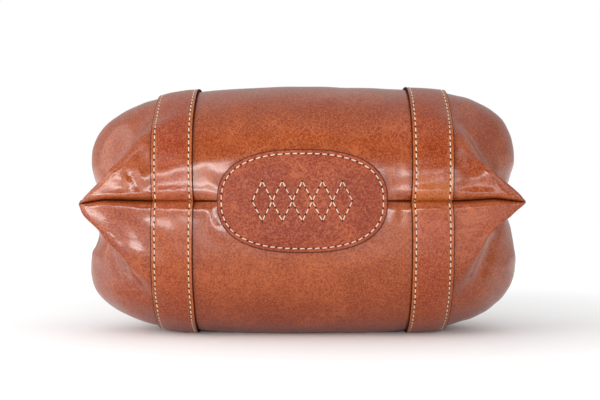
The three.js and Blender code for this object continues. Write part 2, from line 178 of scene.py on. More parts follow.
def smooth(value, low, high):
    """Rises softly from 0 at low to 1 at high, and stays there beyond them."""
    t = np.clip((value - low) / (high - low), 0, 1)
    return t * t * (3 - 2 * t)


def bell(distance, width):
    """1 at no distance, falling softly to nothing beyond the width."""
    return np.exp(-((distance / width) ** 2))


def lengths(line):
    """How far along a line each of its points lies."""
    return np.append(0, np.cumsum(np.linalg.norm(np.diff(line, axis=0), axis=-1)))


def interp(at, table):
    return np.interp(at, *table)


def unit(vectors):
    length = np.linalg.norm(vectors, axis=-1, keepdims=True)
    return vectors / np.maximum(length, 1e-9)


class Quarter:
    """The sections of one half of the bag on one side of its middle."""

    def __init__(self, half, side):
        self.half = half
        depth = FRONT_DEPTH if half == "front" else BACK_DEPTH
        units = np.array([HEIGHT, depth, HALF_LENGTH, HEIGHT, depth, HALF_LENGTH, HALF_LENGTH,
                          HALF_LENGTH, HEIGHT]) / 100
        rows = np.array(FRONT_ROWS if half == "front" else BACK_ROWS, float) * units
        count = np.arange(len(rows))
        lobe = smooth(count, *LOBE_ROWS[:2]) * (1 - smooth(count, *LOBE_ROWS[2:]))
        for name, change in zip(("fold_x", "fold_d", "back", "down"), CORNERS[half, side]):
            rows[:, COLUMNS.index(name)] += change * lobe
        ridge = EARS[half, side]
        rows[1:len(ridge) + 1, COLUMNS.index("fold_x")] += ridge
        self.rows = rows
        self.slopes = np.gradient(rows, axis=0)

    def section(self, w):
        """The sizes at w, 0 at the base seam and 1 at the zip."""
        last = len(self.rows) - 1
        at = np.clip(w, 0, 1) * last
        i = np.minimum(at.astype(int), last - 1)
        f = (at - i)[..., None]
        sizes = ((2 * f**3 - 3 * f**2 + 1) * self.rows[i] + (f**3 - 2 * f**2 + f) * self.slopes[i]
                 + (3 * f**2 - 2 * f**3) * self.rows[i + 1] + (f**3 - f**2) * self.slopes[i + 1])
        return dict(zip(COLUMNS, np.moveaxis(sizes, -1, 0)))

    def loose(self, w, u):
        """The loose skin at w, with u from 0 in the middle of the bag to 1 at the end seam."""
        s = self.section(w)
        rise_h = s["fold_h"] - s["mid_h"]
        rise_d = s["fold_d"] - s["mid_d"]

        def flat(x):
            share = (x / s["fold_x"]) ** 2
            return np.stack([x, s["mid_h"] + rise_h * share, s["mid_d"] + rise_d * share], -1)

        turn_x = s["fold_x"] - s["back"]
        a = flat(turn_x)
        lean = 2 * turn_x / s["fold_x"] ** 2
        ahead = np.stack([np.ones_like(lean), rise_h * lean, rise_d * lean], -1)
        c = a + ahead * s["back"][..., None]
        seam = np.stack([s["seam_x"], s["seam_h"], 0 * s["seam_x"]], -1)
        run = seam - c
        length = np.linalg.norm(run, axis=-1)
        b = c + run * (np.minimum(s["down"], LONGEST_TURN * length) / length)[..., None]
        f = np.clip((u - FLAT_SHARE) / (TURN_SHARE - FLAT_SHARE), 0, 1)[..., None]
        turn = (1 - f) ** 2 * a + 2 * f * (1 - f) * c + f**2 * b
        end = b + (seam - b) * np.clip((u - TURN_SHARE) / (1 - TURN_SHARE), 0, 1)[..., None]
        skin = np.where((u <= FLAT_SHARE)[..., None], flat(turn_x * np.minimum(u / FLAT_SHARE, 1)),
                        np.where((u <= TURN_SHARE)[..., None], turn, end))
        if self.half == "back":
            dip = np.clip((skin[..., 0] - DIP_X) / (BAND_INNER_X - DIP_X), 0, 1)
            skin[..., 2] = np.minimum(skin[..., 2], FLOOR_DEPTH - BAND_RISE * dip)
        return skin


# ---- the skin ----------------------------------------------------------------------------------

# How the leather rolls into the seams: the radius along x at the base seam, and at the ends.
BASE_ROLL = ((0, 50, 60, 100, 125, 134), (0.6, 0.6, 1.8, 2.0, 1.6, 0.8))
BASE_ROLL_FADE = (0.04, 0.08)  # of w
BASE_ROLL_END = 0.9  # of u
END_ROLL = 3.0
END_ROLL_START = (0.8, 0.9)  # of u
END_ROLL_RISE = (0.03, 0.12)  # of w
PUCKER = 0.22  # how deep the thread puckers the base seam, how far apart, and how far it reaches
PUCKER_PITCH = 3.4
PUCKER_REACH = 1.5
PINCH_SHARE = 0.65  # of the base's pinch, which is kept tight to the seam
# How near the seam the leather is drawn in between its shoulders, along the bag.
SHOULDER = ((0, 92, 102, 113, 124, 134), (3.0, 3.0, 2.6, 2.0, 1.5, 1.0))
STEEPEST = 0.05  # the least level part of a normal that the pinch is aimed by

SEAM_SHUT = 0.03  # what stays open of the seam where the two halves meet
SEAM_ALLOWANCE = 3.0  # how far the seams' edges reach inside the bag
SEAM_LEAN = 0.4  # how far they lean to the front there, so that nothing shows through a seam
ALLOWANCE_END_X = (112, 128)  # the base's allowance narrows to nothing along the bag here,
ALLOWANCE_FOOT = (25, 45)  # and the ends' allowance at these heights over the base
ALLOWANCE_HEAD = (125, 140)
# How far the base seam strays to the front or the back along the bag, out to its tips.
SEAM_STRAY = ((-134, -128, -121, -108, -95, -60, 60, 95, 108, 116, 124, 134),
              (-1.6, -0.5, 0.7, 0.5, 0.1, 0, 0, 0.1, 0.8, 1.5, 0.6, -0.6))
STRAY_DEPTH = 12.0
STRAY_HEIGHTS = (60, 20)  # over the base, where it sets in

# Folds and dents of the soft leather, in millimetres. A fold follows a bowed line over the skin
# between two places, seen from the base, and fades out at both ends. It lies on the sections
# from w0 to w1.
FOLD_COLUMNS = ("x0", "d0", "x1", "d1", "bow", "width", "height", "w0", "w1")
FOLDS = {
    ("front", "left"): (
        (56, 7, 131, 1.5, -1.5, 3.4, 0.7, 0, 0.3),  # shoulder beside the base seam
        (118, 18, 94, 32, 0, 10, -1.2, 0, 0.4),  # hollow behind it
        (104, 17, 98, 5, -1.0, 1.7, -1.3, 0, 0.3),  # folds of the ear
        (107, 15, 102, 5, -1.0, 2.0, 0.7, 0, 0.3),
        (99, 19, 94, 4, -1.0, 2.2, 0.9, 0, 0.3),
        (112, 14, 110, 3, 0, 2.6, -0.5, 0, 0.3),
        (92, 60, 124, 24, 3.0, 5.0, -1.2, 0.3, 0.62),  # behind its ridge
        (92, 52, 100, 37, 1.0, 1.8, -0.8, 0.3, 0.6),
        (108, 36, 110, 28, 0, 1.6, -0.6, 0.3, 0.6),
        (48, 2, 58, 18, 0, 2.6, -0.5, 0, 0.3),  # dimple at the patch's end
    ),
    ("back", "left"): (
        (56, 6, 126, 1.5, -1.5, 3.2, 0.6, 0, 0.3),  # shoulder beside the base seam
        (120, 15, 92, 24, 0, 10, -1.8, 0, 0.4),  # hollow behind it
        (121, 22, 104, 56, -2.0, 2.0, 1.6, 0.0, 0.6),  # the ear's ridge runs on over the lobe
        (116, 26, 100, 57, -2.0, 2.2, -1.3, 0.0, 0.6),
        (109, 47, 104, 56, 0, 1.6, -1.0, 0.3, 0.6),
        (101, 5, 94, 8, 0, 2.0, 0.3, 0.0, 0.3),
        (136, 14, 140, 34, 0, 10.0, -3.5, 0.3, 0.7),  # dent in the lobe behind the ear
        (60, 0, 52, 22, 2.0, 2.4, 0.8, 0, 0.3),  # fold and dimple at the patch's end
        (56, 2, 50, 16, 1.0, 2.0, -0.6, 0, 0.3),
    ),
    ("front", "right"): (
        (56, 7, 131, 2, -1.5, 3.4, 0.6, 0, 0.3),
        (118, 18, 94, 32, 0, 10, -1.4, 0, 0.4),
        (130, -2, 106, 26, 3.0, 3.0, 0.7, 0.0, 0.5),  # the ear's ridge
        (105, 30, 97, 52, -3.0, 4.5, -1.2, 0.0, 0.6),
    ),
    ("back", "right"): (
        (56, 6, 126, 2, -1.5, 3.2, 0.5, 0, 0.3),
        (120, 16, 92, 28, 0, 11, -1.4, 0, 0.4),
        (127, 10, 104, 26, 2.0, 3.0, -0.9, 0.0, 0.4),
        (56, 0, 55, 14, 0, 2.0, 0.7, 0, 0.3),  # fold and dimple at the patch's end
        (60, 0, 60, 12, 0, 1.8, -0.5, 0, 0.3),
    ),
}
FOLD_ENDS = (0.03, 0.97)  # how far along its line a fold starts and ends
FOLD_BULGE = 0.7  # exponent of its rise between them
FOLD_FADE = 0.02  # of w, over which it fades out past w0 and w1
FOLD_MARGIN = 3.0  # beside the seams, where the folds fade out

# The leather's soft unevenness: waves that cross each other at all angles.
WAVES = 14
WAVE_LENGTHS = (9.0, 34.0)
WAVE_HEIGHT = 0.055  # of each wave, in the middle of the bag
EAR_WAVE_HEIGHT = 0.09  # and towards its ends
EAR_START = (60, 100)

ROW_BREAKS = (0.03, 0.45, 0.98)  # of w, where the spacing of the rows changes
ROW_COUNTS = (12, 100, 46, 4)
ROW_CROWDING = 1.6  # exponent that draws the first rows to the base seam
COLUMN_COUNTS = (56, 40, 34)  # of the flat stretch, the corner's turn and the rest
COLUMN_CROWDING = 1.3  # exponent that draws the last columns to the end seam


def grid_rows():
    seam, base, top = ROW_BREAKS
    parts = [seam * np.linspace(0, 1, ROW_COUNTS[0], endpoint=False) ** ROW_CROWDING,
             np.linspace(seam, base, ROW_COUNTS[1], endpoint=False),
             np.linspace(base, top, ROW_COUNTS[2], endpoint=False),
             np.linspace(top, 1, ROW_COUNTS[3])]
    return np.concatenate(parts)


def grid_columns():
    rest = np.linspace(1, 0, COLUMN_COUNTS[2]) ** COLUMN_CROWDING
    parts = [np.linspace(0, FLAT_SHARE, COLUMN_COUNTS[0], endpoint=False),
             np.linspace(FLAT_SHARE, TURN_SHARE, COLUMN_COUNTS[1], endpoint=False),
             1 - (1 - TURN_SHARE) * rest]
    return np.concatenate(parts)


def roll_in(d, radius):
    """How far a rounded edge has turned in, at a distance d from its seam."""
    left = np.clip(radius - d, 0, None)
    return radius - np.sqrt(np.maximum(radius**2 - left**2, 0))


def grid_normals(points):
    return unit(np.cross(np.gradient(points, axis=1), np.gradient(points, axis=0)))


def near_line(x, d, start, end, bow, count=24):
    """The distance from a bowed line, and how far along it the nearest place lies."""
    start, end = np.array(start, float), np.array(end, float)
    run = end - start
    aside = np.array([-run[1], run[0]]) / max(np.hypot(*run), 1e-9)
    middle = (start + end) / 2 + bow * aside
    best = np.full(x.shape, np.inf)
    share = np.zeros(x.shape)
    for t in np.linspace(0, 1, count):
        place = (1 - t) ** 2 * start + 2 * t * (1 - t) * middle + t**2 * end
        distance = np.hypot(x - place[0], d - place[1])
        share = np.where(distance < best, t, share)
        best = np.minimum(best, distance)
    return best, share


class Skin:
    """One half of the bag as a fine grid: a row for each section, with columns from the left
    end seam to the right one. Points are x, h and d, with x below 0 on the left."""

    def __init__(self, half):
        self.half = half
        self.w = grid_rows()
        u = grid_columns()
        self.middle = len(u) - 1
        w_grid, u_grid = np.meshgrid(self.w, u, indexing="ij")
        left = self.side("left", w_grid, u_grid)[:, :0:-1] * (-1, 1, 1)
        self.points = np.concatenate([left, self.side("right", w_grid, u_grid)], axis=1)
        self.normals = grid_normals(self.points)

    def side(self, side, w, u):
        """The loose skin of one side, drawn in at its seams and laid in its folds."""
        skin = Quarter(self.half, side).loose(w, u)
        normals = grid_normals(skin)
        level = np.maximum(np.linalg.norm(normals[..., :2], axis=-1, keepdims=True), STEEPEST)
        inward = np.concatenate([-normals[..., :2] / level, 0 * level], -1)
        x, h, d = np.moveaxis(skin, -1, 0)
        turned = np.clip((u - FLAT_SHARE) / (TURN_SHARE - FLAT_SHARE), 0, 1)
        near_base = (1 - smooth(w, *BASE_ROLL_FADE)) * (u < BASE_ROLL_END)
        base = PINCH_SHARE * interp(x, BASE_PINCH) * bell(d, interp(x, SHOULDER))
        base = base * np.clip(1 - w / BASE_PINCH_END, 0, 1)
        pucker = PUCKER * np.sin(2 * np.pi * x / PUCKER_PITCH) * np.exp(-d / PUCKER_REACH)
        base = base + (roll_in(d, interp(x, BASE_ROLL)) + pucker) * near_base
        near_end = smooth(u, *END_ROLL_START) * smooth(w, *END_ROLL_RISE)
        end = interp(h, END_PINCH) * np.exp(-d / END_PINCH_REACH) * turned
        end = end + roll_in(d, END_ROLL) * near_end
        skin = skin + inward * (base + end)[..., None]
        return skin + grid_normals(skin) * self.folds(side, w, x, d)[..., None]

    def folds(self, side, w, x, d):
        """How far the leather stands out of the smooth skin."""
        lift = self.waves(side, x, d)
        for row in FOLDS[self.half, side]:
            f = dict(zip(FOLD_COLUMNS, row))
            distance, share = near_line(x, d, (f["x0"], f["d0"]), (f["x1"], f["d1"]), f["bow"])
            ends = np.sin(np.pi * np.clip(share, *FOLD_ENDS)) ** FOLD_BULGE
            level = (smooth(w, f["w0"] - FOLD_FADE, f["w0"])
                     * (1 - smooth(w, f["w1"], f["w1"] + FOLD_FADE)))
            lift = lift + f["height"] * bell(distance, f["width"]) * ends * level
        return lift * smooth(d, 0, FOLD_MARGIN)

    def waves(self, side, x, d):
        """The soft unevenness, each wave with a length, a way and a start of its own."""
        rng = np.random.default_rng(sum(map(ord, self.half)))
        along = x if side == "right" else -x
        lift = np.zeros_like(x)
        for _ in range(WAVES):
            length = np.exp(rng.uniform(*np.log(WAVE_LENGTHS)))
            angle, phase = rng.uniform(0, np.pi), rng.uniform(0, 2 * np.pi)
            way = along * np.cos(angle) + d * np.sin(angle)
            lift += np.sin(2 * np.pi * way / length + phase) * (length / WAVE_LENGTHS[1]) ** 0.5
        height = WAVE_HEIGHT + (EAR_WAVE_HEIGHT - WAVE_HEIGHT) * smooth(x, *EAR_START)
        return lift * height

    def layer(self, off):
        """The whole grid, `off` outside the skin."""
        points = self.points + self.normals * off
        points[..., 2] = np.maximum(points[..., 2], SEAM_SHUT)
        return points

    def at(self, w, x):
        """Points and normals of the skin at the sections w and the places x along the bag, this
        side of the corner's turn. w has a row for each section and x a column for each place."""
        found = []
        for grid in (self.points, self.normals):
            lines = np.empty((len(w), len(x[0]), 3))
            for i, section in enumerate(w):
                row = np.interp(section, self.w, np.arange(len(self.w)))
                low = min(int(row), len(self.w) - 2)
                part = row - low
                line = grid[low] * (1 - part) + grid[low + 1] * part
                along = self.points[low, :, 0] * (1 - part) + self.points[low + 1, :, 0] * part
                span = slice(int(np.argmin(along)), int(np.argmax(along)) + 1)
                for axis in range(3):
                    lines[i, :, axis] = np.interp(x[i], along[span], line[span, axis])
            found.append(lines)
        return found[0], unit(found[1])


SKINS = {half: Skin(half) for half in ("front", "back")}


# ---- meshes ------------------------------------------------------------------------------------


def placed(points, half):
    """From the bag's own terms, in millimetres, to the frame, in metres."""
    points = np.asarray(points, float)
    sign = 1 if half == "front" else -1
    x, h, d = np.moveaxis(points, -1, 0)
    stray = interp(x, SEAM_STRAY) * np.exp(-np.abs(d) / STRAY_DEPTH)
    stray = stray * smooth(h, *STRAY_HEIGHTS)
    z = np.maximum(SEAM_Z + sign * d + stray, 0)
    return np.stack([CENTRE_X + x, BASE_Y + h, z], -1) * MM


def grid_faces(rows, columns, closed=False):
    """The quads of a grid of points, row by row. A closed one joins its last column to its
    first."""
    last = columns if closed else columns - 1
    r, c = np.meshgrid(np.arange(rows - 1), np.arange(last), indexing="ij")
    after = (c + 1) % columns
    quads = (r * columns + c, r * columns + after, (r + 1) * columns + after, (r + 1) * columns + c)
    return np.stack(quads, -1).reshape(-1, 4)


def tube_faces(rows, columns):
    """The quads of a closed grid, and the fans that shut its ends round two centres, whose points
    come after the grid's."""
    count = rows * columns
    first, last = np.arange(columns), np.arange(count - columns, count)
    return (grid_faces(rows, columns, closed=True),
            [(count, first[::-1].tolist()), (count + 1, last.tolist())])


def make_piece(name, points, quads, fans=(), caps=(), uv=None, wrap=None, values=None):
    """A closed mesh piece from points in metres, quads, fans (each a centre and its ring) and
    caps (each a ring). uv has a pair for each point, and wrap is the length at which its second
    number starts again."""
    mesh = bpy.data.meshes.new(name)
    triangles = [(centre, ring[i], ring[(i + 1) % len(ring)]) for centre, ring in fans
                 for i in range(len(ring))]
    mesh.from_pydata(np.asarray(points).reshape(-1, 3), [],
                     np.asarray(quads).tolist() + triangles + list(caps))
    if uv is not None:
        corners = np.empty(len(mesh.loops), np.int32)
        mesh.loops.foreach_get("vertex_index", corners)
        uv = np.asarray(uv, float).reshape(-1, 2)[corners]
        if wrap:
            starts = np.empty(len(mesh.polygons), np.int32)
            mesh.polygons.foreach_get("loop_start", starts)
            counts = np.diff(np.append(starts, len(corners)))
            span = np.maximum.reduceat(uv[:, 1], starts) - np.minimum.reduceat(uv[:, 1], starts)
            crossing = np.repeat(span > wrap / 2, counts) & (uv[:, 1] < wrap / 2)
            uv[crossing, 1] += wrap
        layer = mesh.uv_layers.new(name="along")
        layer.data.foreach_set("uv", uv.astype(np.float32).ravel())
    for key, value in (values or {}).items():
        attribute = mesh.attributes.new(key, "FLOAT", "POINT")
        attribute.data.foreach_set("value", np.asarray(value, np.float32).ravel())
    mesh.polygons.foreach_set("use_smooth", np.ones(len(mesh.polygons), bool))
    mesh.update()
    if mesh_volume(mesh) < 0:
        mesh.flip_normals()
    piece = bpy.data.objects.new(name, mesh)
    bpy.context.scene.collection.objects.link(piece)
    return piece


def mesh_volume(mesh):
    places = np.empty(len(mesh.vertices) * 3)
    mesh.vertices.foreach_get("co", places)
    mesh.calc_loop_triangles()
    corners = np.empty(len(mesh.loop_triangles) * 3, np.int32)
    mesh.loop_triangles.foreach_get("vertices", corners)
    a, b, c = np.moveaxis(places.reshape(-1, 3)[corners.reshape(-1, 3)], 1, 0)
    return np.einsum("ij,ij->", a, np.cross(b, c)) / 6


def dress(piece, material, slot, *nodes):
    """Gives a piece its material and its place in the frame."""
    piece.data.materials.clear()
    piece.data.materials.append(material)
    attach(piece, "root")
    if nodes:
        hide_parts(*nodes)
    return piece


# ---- panels ------------------------------------------------------------------------------------


def build_panel(half, material):
    """The leather shell of one half, from the base seam over the crown to the zip. Along the
    seams its two layers meet, and its edge reaches inside the bag."""
    skin = SKINS[half]
    outer, inner = skin.layer(0), skin.layer(-LEATHER)
    lean = SEAM_LEAN if half == "front" else -SEAM_LEAN
    for rim in (np.s_[0, :], np.s_[:, 0], np.s_[:, -1]):
        outer[rim][..., 2] = SEAM_SHUT
        inner[rim] = outer[rim]
    x, h = outer[0, :, 0], outer[:, 0, 1]
    base_share = 1 - smooth(np.abs(x), *ALLOWANCE_END_X)
    end_share = smooth(h, *ALLOWANCE_FOOT) * (1 - smooth(h, *ALLOWANCE_HEAD))
    inner[0, :, 1] += SEAM_ALLOWANCE * base_share
    inner[0, :, 2] += lean * base_share
    for rim, way in ((0, 1), (-1, -1)):
        inner[:, rim, 0] += way * SEAM_ALLOWANCE * end_share
        inner[:, rim, 2] += lean * end_share
    rows, columns = outer.shape[:2]
    count = rows * columns
    ids = np.arange(count).reshape(rows, columns)
    edge = np.concatenate([ids[0, :], ids[1:, -1], ids[-1, -2::-1], ids[-2:0:-1, 0]])
    after = np.roll(edge, -1)
    rim = np.stack([edge + count, after + count, after, edge], -1)
    faces = grid_faces(rows, columns)
    quads = np.concatenate([faces, faces[:, ::-1] + count, rim])
    points = placed(np.concatenate([outer.reshape(-1, 3), inner.reshape(-1, 3)]), half)
    values = {key: np.tile(value.ravel(), 2) for key, value in panel_tints(skin).items()}
    piece = make_piece(f"{half}_panel_skin", points, quads, values=values)
    return dress(piece, material, "panel_leather", f"{half}_panel")


# Marks on the leather: golden and ruddy tones, and fine creases that run level or upright, drawn
# as pale lines that are painted highlights along the creases. Each is a soft round spot with its
# kind, the place of its middle, its two half sizes and its amount.
TINTS = ("golden", "ruddy", "level", "upright")
PANEL_MARKS = {  # kind, x, d, wide, deep, amount
    "front": (
        ("golden", -84, 20, 26, 40, 0.35),
        ("golden", -118, 14, 16, 12, 0.45),
        ("golden", 0, 42, 90, 22, 0.25),
        ("ruddy", 58, 34, 14, 40, 0.7),
        # Painted sheen: a ruddy band along the crown's rim, for the mauve of the grazing reflection
        # there.
        ("ruddy", 0, 72, 80, 12, 0.5),
        ("ruddy", 104, 54, 22, 22, 0.6),
        ("ruddy", -104, 62, 22, 10, 0.3),
        ("level", 100, 6, 10, 6, 0.3),
        ("upright", -56, 12, 7, 14, 0.8),
        ("upright", 58, 14, 7, 16, 0.8),
        ("upright", -104, 14, 12, 12, 0.3),
    ),
    "back": (
        ("golden", 0, 36, 90, 24, 0.25),
        ("golden", -20, 46, 60, 16, 0.25),
        ("golden", 62, 24, 10, 26, 0.4),
        ("golden", 118, 30, 14, 30, 0.3),
        # Painted sheen: a ruddy band along the rim by the floor, for the mauve of the grazing
        # reflection there.
        ("ruddy", 0, 80, 90, 14, 0.7),
        ("ruddy", -110, 18, 20, 26, 0.7),
        ("ruddy", 108, 16, 22, 20, 1.0),
        ("ruddy", -105, 66, 30, 20, 0.5),
        ("level", 106, 15, 13, 14, 1.0),
        ("upright", -57, 8, 6, 12, 0.6),
        ("upright", 58, 8, 6, 12, 0.6),
    ),
}
MARKS_FADE = (90, 60)  # over the base, where the marks fade out
SEAM_GOLD = 0.35  # how golden the leather is rubbed beside the seams, and how far
SEAM_GOLD_REACH = 2.5
SHADE_REACH = 0.7  # of the dark in the seams
SHADE_FADE = (140, 100)  # over the base, where it fades out


def marked(x, y, marks):
    """How strong each kind of mark is at the places x and y."""
    values = {key: np.zeros(np.broadcast(x, y).shape) for key in TINTS}
    for kind, at_x, at_y, wide, deep, amount in marks:
        values[kind] += amount * bell(x - at_x, wide) * bell(y - at_y, deep)
    return values


def panel_tints(skin):
    """Where a panel is golden, ruddy, creased or dark: a value for each point of its grid."""
    x, h, d = np.moveaxis(skin.points, -1, 0)
    values = marked(x, d, PANEL_MARKS[skin.half])
    values["golden"] += SEAM_GOLD * bell(d, SEAM_GOLD_REACH)
    base = smooth(h, *MARKS_FADE)
    values = {key: np.clip(value * base, 0, 1) for key, value in values.items()}
    values["shade"] = bell(d, SHADE_REACH) * smooth(h, *SHADE_FADE)
    return values


# ---- straps ------------------------------------------------------------------------------------

STITCH_INSET = 2.4
GROOVE = 0.25  # how deep a stitch line sinks in, and how far to each side
GROOVE_REACH = 0.7
STRAP_EDGE = 0.45  # radius of a strap's edge
STRAP_EDGE_STEPS = 5
STRAP_FACE = (0.8, 42)  # distance of its flat face from the edge, and the points across it
STRAP_PUFF = 0.2  # how far it rises between its stitch lines
STRAP_PUFF_RISE = (2.9, 8)  # from the edge
STRAP_UNDER = (0.05, 6)  # the same as its face, for its underside
STRAP_SHIFT = 1.1  # of a strap towards the bag's middle at the base seam
STRAP_SHIFT_REACH = 7.0


def sunk_edge(from_edge, radius, inset):
    """How low a leather's face lies near its rounded edge and on its stitch line."""
    corner = np.clip((radius - from_edge) / radius, 0, 1)
    return radius * (1 - np.sqrt(1 - corner**2)) + GROOVE * bell(from_edge - inset, GROOVE_REACH)


def strap_profile():
    """Across a strap: distances from its inner edge, and heights, on top and then underneath."""
    arc = STRAP_EDGE * (1 - np.cos(np.linspace(0, np.pi / 2, STRAP_EDGE_STEPS)))
    edge, count = STRAP_FACE
    across = np.concatenate([arc, np.linspace(edge, BAND_WIDTH - edge, count),
                             BAND_WIDTH - arc[::-1]])
    from_edge = np.minimum(across, BAND_WIDTH - across)
    height = BAND_LEATHER - sunk_edge(from_edge, STRAP_EDGE, STITCH_INSET)
    height += STRAP_PUFF * smooth(from_edge, *STRAP_PUFF_RISE)
    edge, count = STRAP_UNDER
    under = np.linspace(BAND_WIDTH - edge, edge, count)
    return np.concatenate([across, under]), np.concatenate([height, 0 * under])


def strap_edge_shift(d):
    """How far the thread draws a strap towards the bag's middle near the base seam."""
    return STRAP_SHIFT * np.exp(-d / STRAP_SHIFT_REACH)


def strap_grid(half, side, across, height):
    """Places on a strap, `height` over its underside: a row for each section."""
    skin = SKINS[half]
    sign = 1 if side == "right" else -1
    d = skin.points[:, skin.middle, 2]
    x = BAND_INNER_X + across - strap_edge_shift(d)[:, None]
    points, normals = skin.at(skin.w, sign * x)
    points = points + normals * np.expand_dims(GAP + np.asarray(height), -1)
    points[..., 2] = np.maximum(points[..., 2], SEAM_SHUT)
    return points


def strap_lengths(half, side):
    """How far along the strap each of its sections lies, from the base seam."""
    return lengths(strap_grid(half, side, np.array([BAND_WIDTH / 2]), 0)[:, 0])


# Marks on the straps, by their distance across from the inner edge and along from the base seam.
STRAP_MARKS = {  # kind, across, along, wide, long, amount
    ("front", "left"): (
        ("golden", 0, 0, 3.0, 300, 0.8),
        ("golden", 25, 0, 3.0, 300, 0.6),
        ("ruddy", 12, 30, 14, 34, 0.9),
        ("level", 12, 18, 12, 14, 0.6),
    ),
    ("front", "right"): (
        ("golden", 0, 0, 3.0, 60, 1.0),
        ("golden", 25, 0, 3.0, 300, 0.8),
        ("golden", 12, 4, 20, 14, 1.0),
        ("ruddy", 12, 74, 20, 16, 0.4),
    ),
    ("back", "left"): (
        ("golden", 0, 0, 3.0, 300, 0.8),
        ("golden", 12, 30, 20, 30, 0.25),
        ("golden", 25, 0, 3.0, 300, 0.5),
        ("ruddy", 12, 82, 20, 20, 0.6),
    ),
    ("back", "right"): (
        ("golden", 0, 0, 3.0, 300, 0.9),
        ("golden", 12, 0, 20, 9, 0.5),
        ("golden", 25, 0, 3.0, 300, 0.5),
        ("ruddy", 12, 30, 12, 26, 0.5),
    ),
}


def build_strap(half, side, material):
    """One strap over its panel, from the base seam to the zip, closed at both ends."""
    across, height = strap_profile()
    points = strap_grid(half, side, across, height)
    along = strap_lengths(half, side)
    uv = np.stack(np.broadcast_arrays(across, along[:, None]), -1).reshape(-1, 2)
    middle = across.mean()
    uv = np.concatenate([uv, [[middle, 0], [middle, along[-1]]]]) * MM
    tints = marked(across, along[:, None], STRAP_MARKS[half, side])
    values = {key: np.append(np.clip(value, 0, 1), (0, 0)) for key, value in tints.items()}
    quads, fans = tube_faces(*points.shape[:2])
    centres = points[[0, -1]].mean(axis=1)
    points = placed(np.concatenate([points.reshape(-1, 3), centres]), half)
    piece = make_piece(f"strap_{half}_{side}", points, quads, fans, uv=uv, values=values)
    return dress(piece, material, "strap_leather", f"band_{half}_{side}")


# ---- base patch --------------------------------------------------------------------------------

PATCH_LENGTH = 102.6
PATCH_WIDTH = 62.4
PATCH_SQUARENESS = 2.5  # exponent of the rounded outline, 2 for an ellipse
PATCH_INSET = 2.7  # of its border's stitches, and their pitch
PATCH_PITCH = 4.4
PATCH_EDGE = 0.9  # radius of its rounded edge
PATCH_PUFF = 0.25  # how far it rises inside its border
PATCH_PUFF_RISE = (3.3, 10)  # from the edge
PATCH_SPOKES = 180
OUTLINE_POINTS = 4001  # that its length is counted from
PATCH_RINGS = (0, 0.05, 0.18, 0.4, 0.65, 0.9, 1.3, 1.7, 2.0, 2.3, 2.7, 3.1, 3.4, 3.8, 4.5, 6, 8, 10)
PATCH_CORE = (0.85, 0.7, 0.55, 0.4, 0.25, 0.1)  # shares of the last of these rings
PATCH_UNDER = (0.1, 0.4, 0.7, 0.9, 1.0)  # shares of its outline, set in a little
PATCH_UNDER_INSET = 0.2
LOZENGES = 5
LEG_STITCHES = 3
LEG_POINTS = 12
BASE_END = 0.35  # of w, within which the base lies
HALVINGS = 30


def patch_outline(turn, inset=0.0):
    """A place on the patch's outline, or on the line that lies `inset` inside it."""
    power = 2 / PATCH_SQUARENESS
    cos, sin = np.cos(turn), np.sin(turn)
    x = (PATCH_LENGTH / 2 - inset) * np.sign(cos) * np.abs(cos) ** power
    d = (PATCH_WIDTH / 2 - inset) * np.sign(sin) * np.abs(sin) ** power
    return np.stack([x, d], -1)


def patch_turns(count, inset=0.0):
    """Angles whose places are evenly spaced along the outline, and the outline's length."""
    fine = np.linspace(0, 2 * np.pi, OUTLINE_POINTS)
    along = lengths(patch_outline(fine, inset))
    return np.interp(np.linspace(0, along[-1], count, endpoint=False), along, fine), along[-1]


def base_height(x, d):
    """Height of the loose base at the places x and d. The front half is where d is above 0."""
    height = np.zeros(np.shape(x))
    for half, here in (("front", d >= 0), ("back", d < 0)):
        quarter = Quarter(half, "right")
        low = np.zeros(np.count_nonzero(here))
        high = np.full_like(low, BASE_END)
        for _ in range(HALVINGS):
            w = (low + high) / 2
            s = quarter.section(w)
            share = (x[here] / s["fold_x"]) ** 2
            short = s["mid_d"] + (s["fold_d"] - s["mid_d"]) * share < np.abs(d[here])
            low, high = np.where(short, w, low), np.where(short, high, w)
        height[here] = s["mid_h"] + (s["fold_h"] - s["mid_h"]) * share
    return height


def patch_places(outline, depth):
    """Places on the patch in metres, `depth` under its face, for places on its outline."""
    x, d = np.moveaxis(outline, -1, 0)
    h = base_height(x, d) - PATCH_GAP - PATCH_LEATHER + depth
    return placed(np.stack([x, h, d], -1), "front")


def patch_depth(inset):
    """How far the face lies under its highest level at a distance from the patch's edge."""
    return sunk_edge(inset, PATCH_EDGE, PATCH_INSET) - PATCH_PUFF * smooth(inset, *PATCH_PUFF_RISE)


def build_patch(material):
    """The patch as rings: out over its underside, round its edge and in over its face."""
    turns, length = patch_turns(PATCH_SPOKES)
    deepest = PATCH_RINGS[-1]
    rings = [(patch_outline(turns, PATCH_UNDER_INSET) * share, PATCH_LEATHER, 0.0)
             for share in PATCH_UNDER]
    rings += [(patch_outline(turns, inset), patch_depth(inset), inset) for inset in PATCH_RINGS]
    rings += [(patch_outline(turns, deepest) * share, patch_depth(deepest),
               deepest * (2 - share)) for share in PATCH_CORE]
    outlines, depths, insets = (np.array(values, float) for values in zip(*rings))
    shape = outlines.shape[:2]
    points = patch_places(outlines, np.broadcast_to(depths[:, None], shape))
    centres = patch_places(np.zeros((2, 2)), depths[[0, -1]])
    points = np.concatenate([points.reshape(-1, 3), centres])
    quads, fans = tube_faces(*shape)
    along = np.linspace(0, length, PATCH_SPOKES, endpoint=False)
    uv = np.stack(np.broadcast_arrays(insets[:, None], along), -1).reshape(-1, 2)
    uv = np.concatenate([uv, [[0, 0], [insets[-1], 0]]]) * MM
    piece = make_piece("base_patch_plate", points, quads, fans, uv=uv, wrap=length * MM)
    return dress(piece, material, "patch_leather", "base_patch")


# ---- stitches ----------------------------------------------------------------------------------

STITCH_SIDES = 6
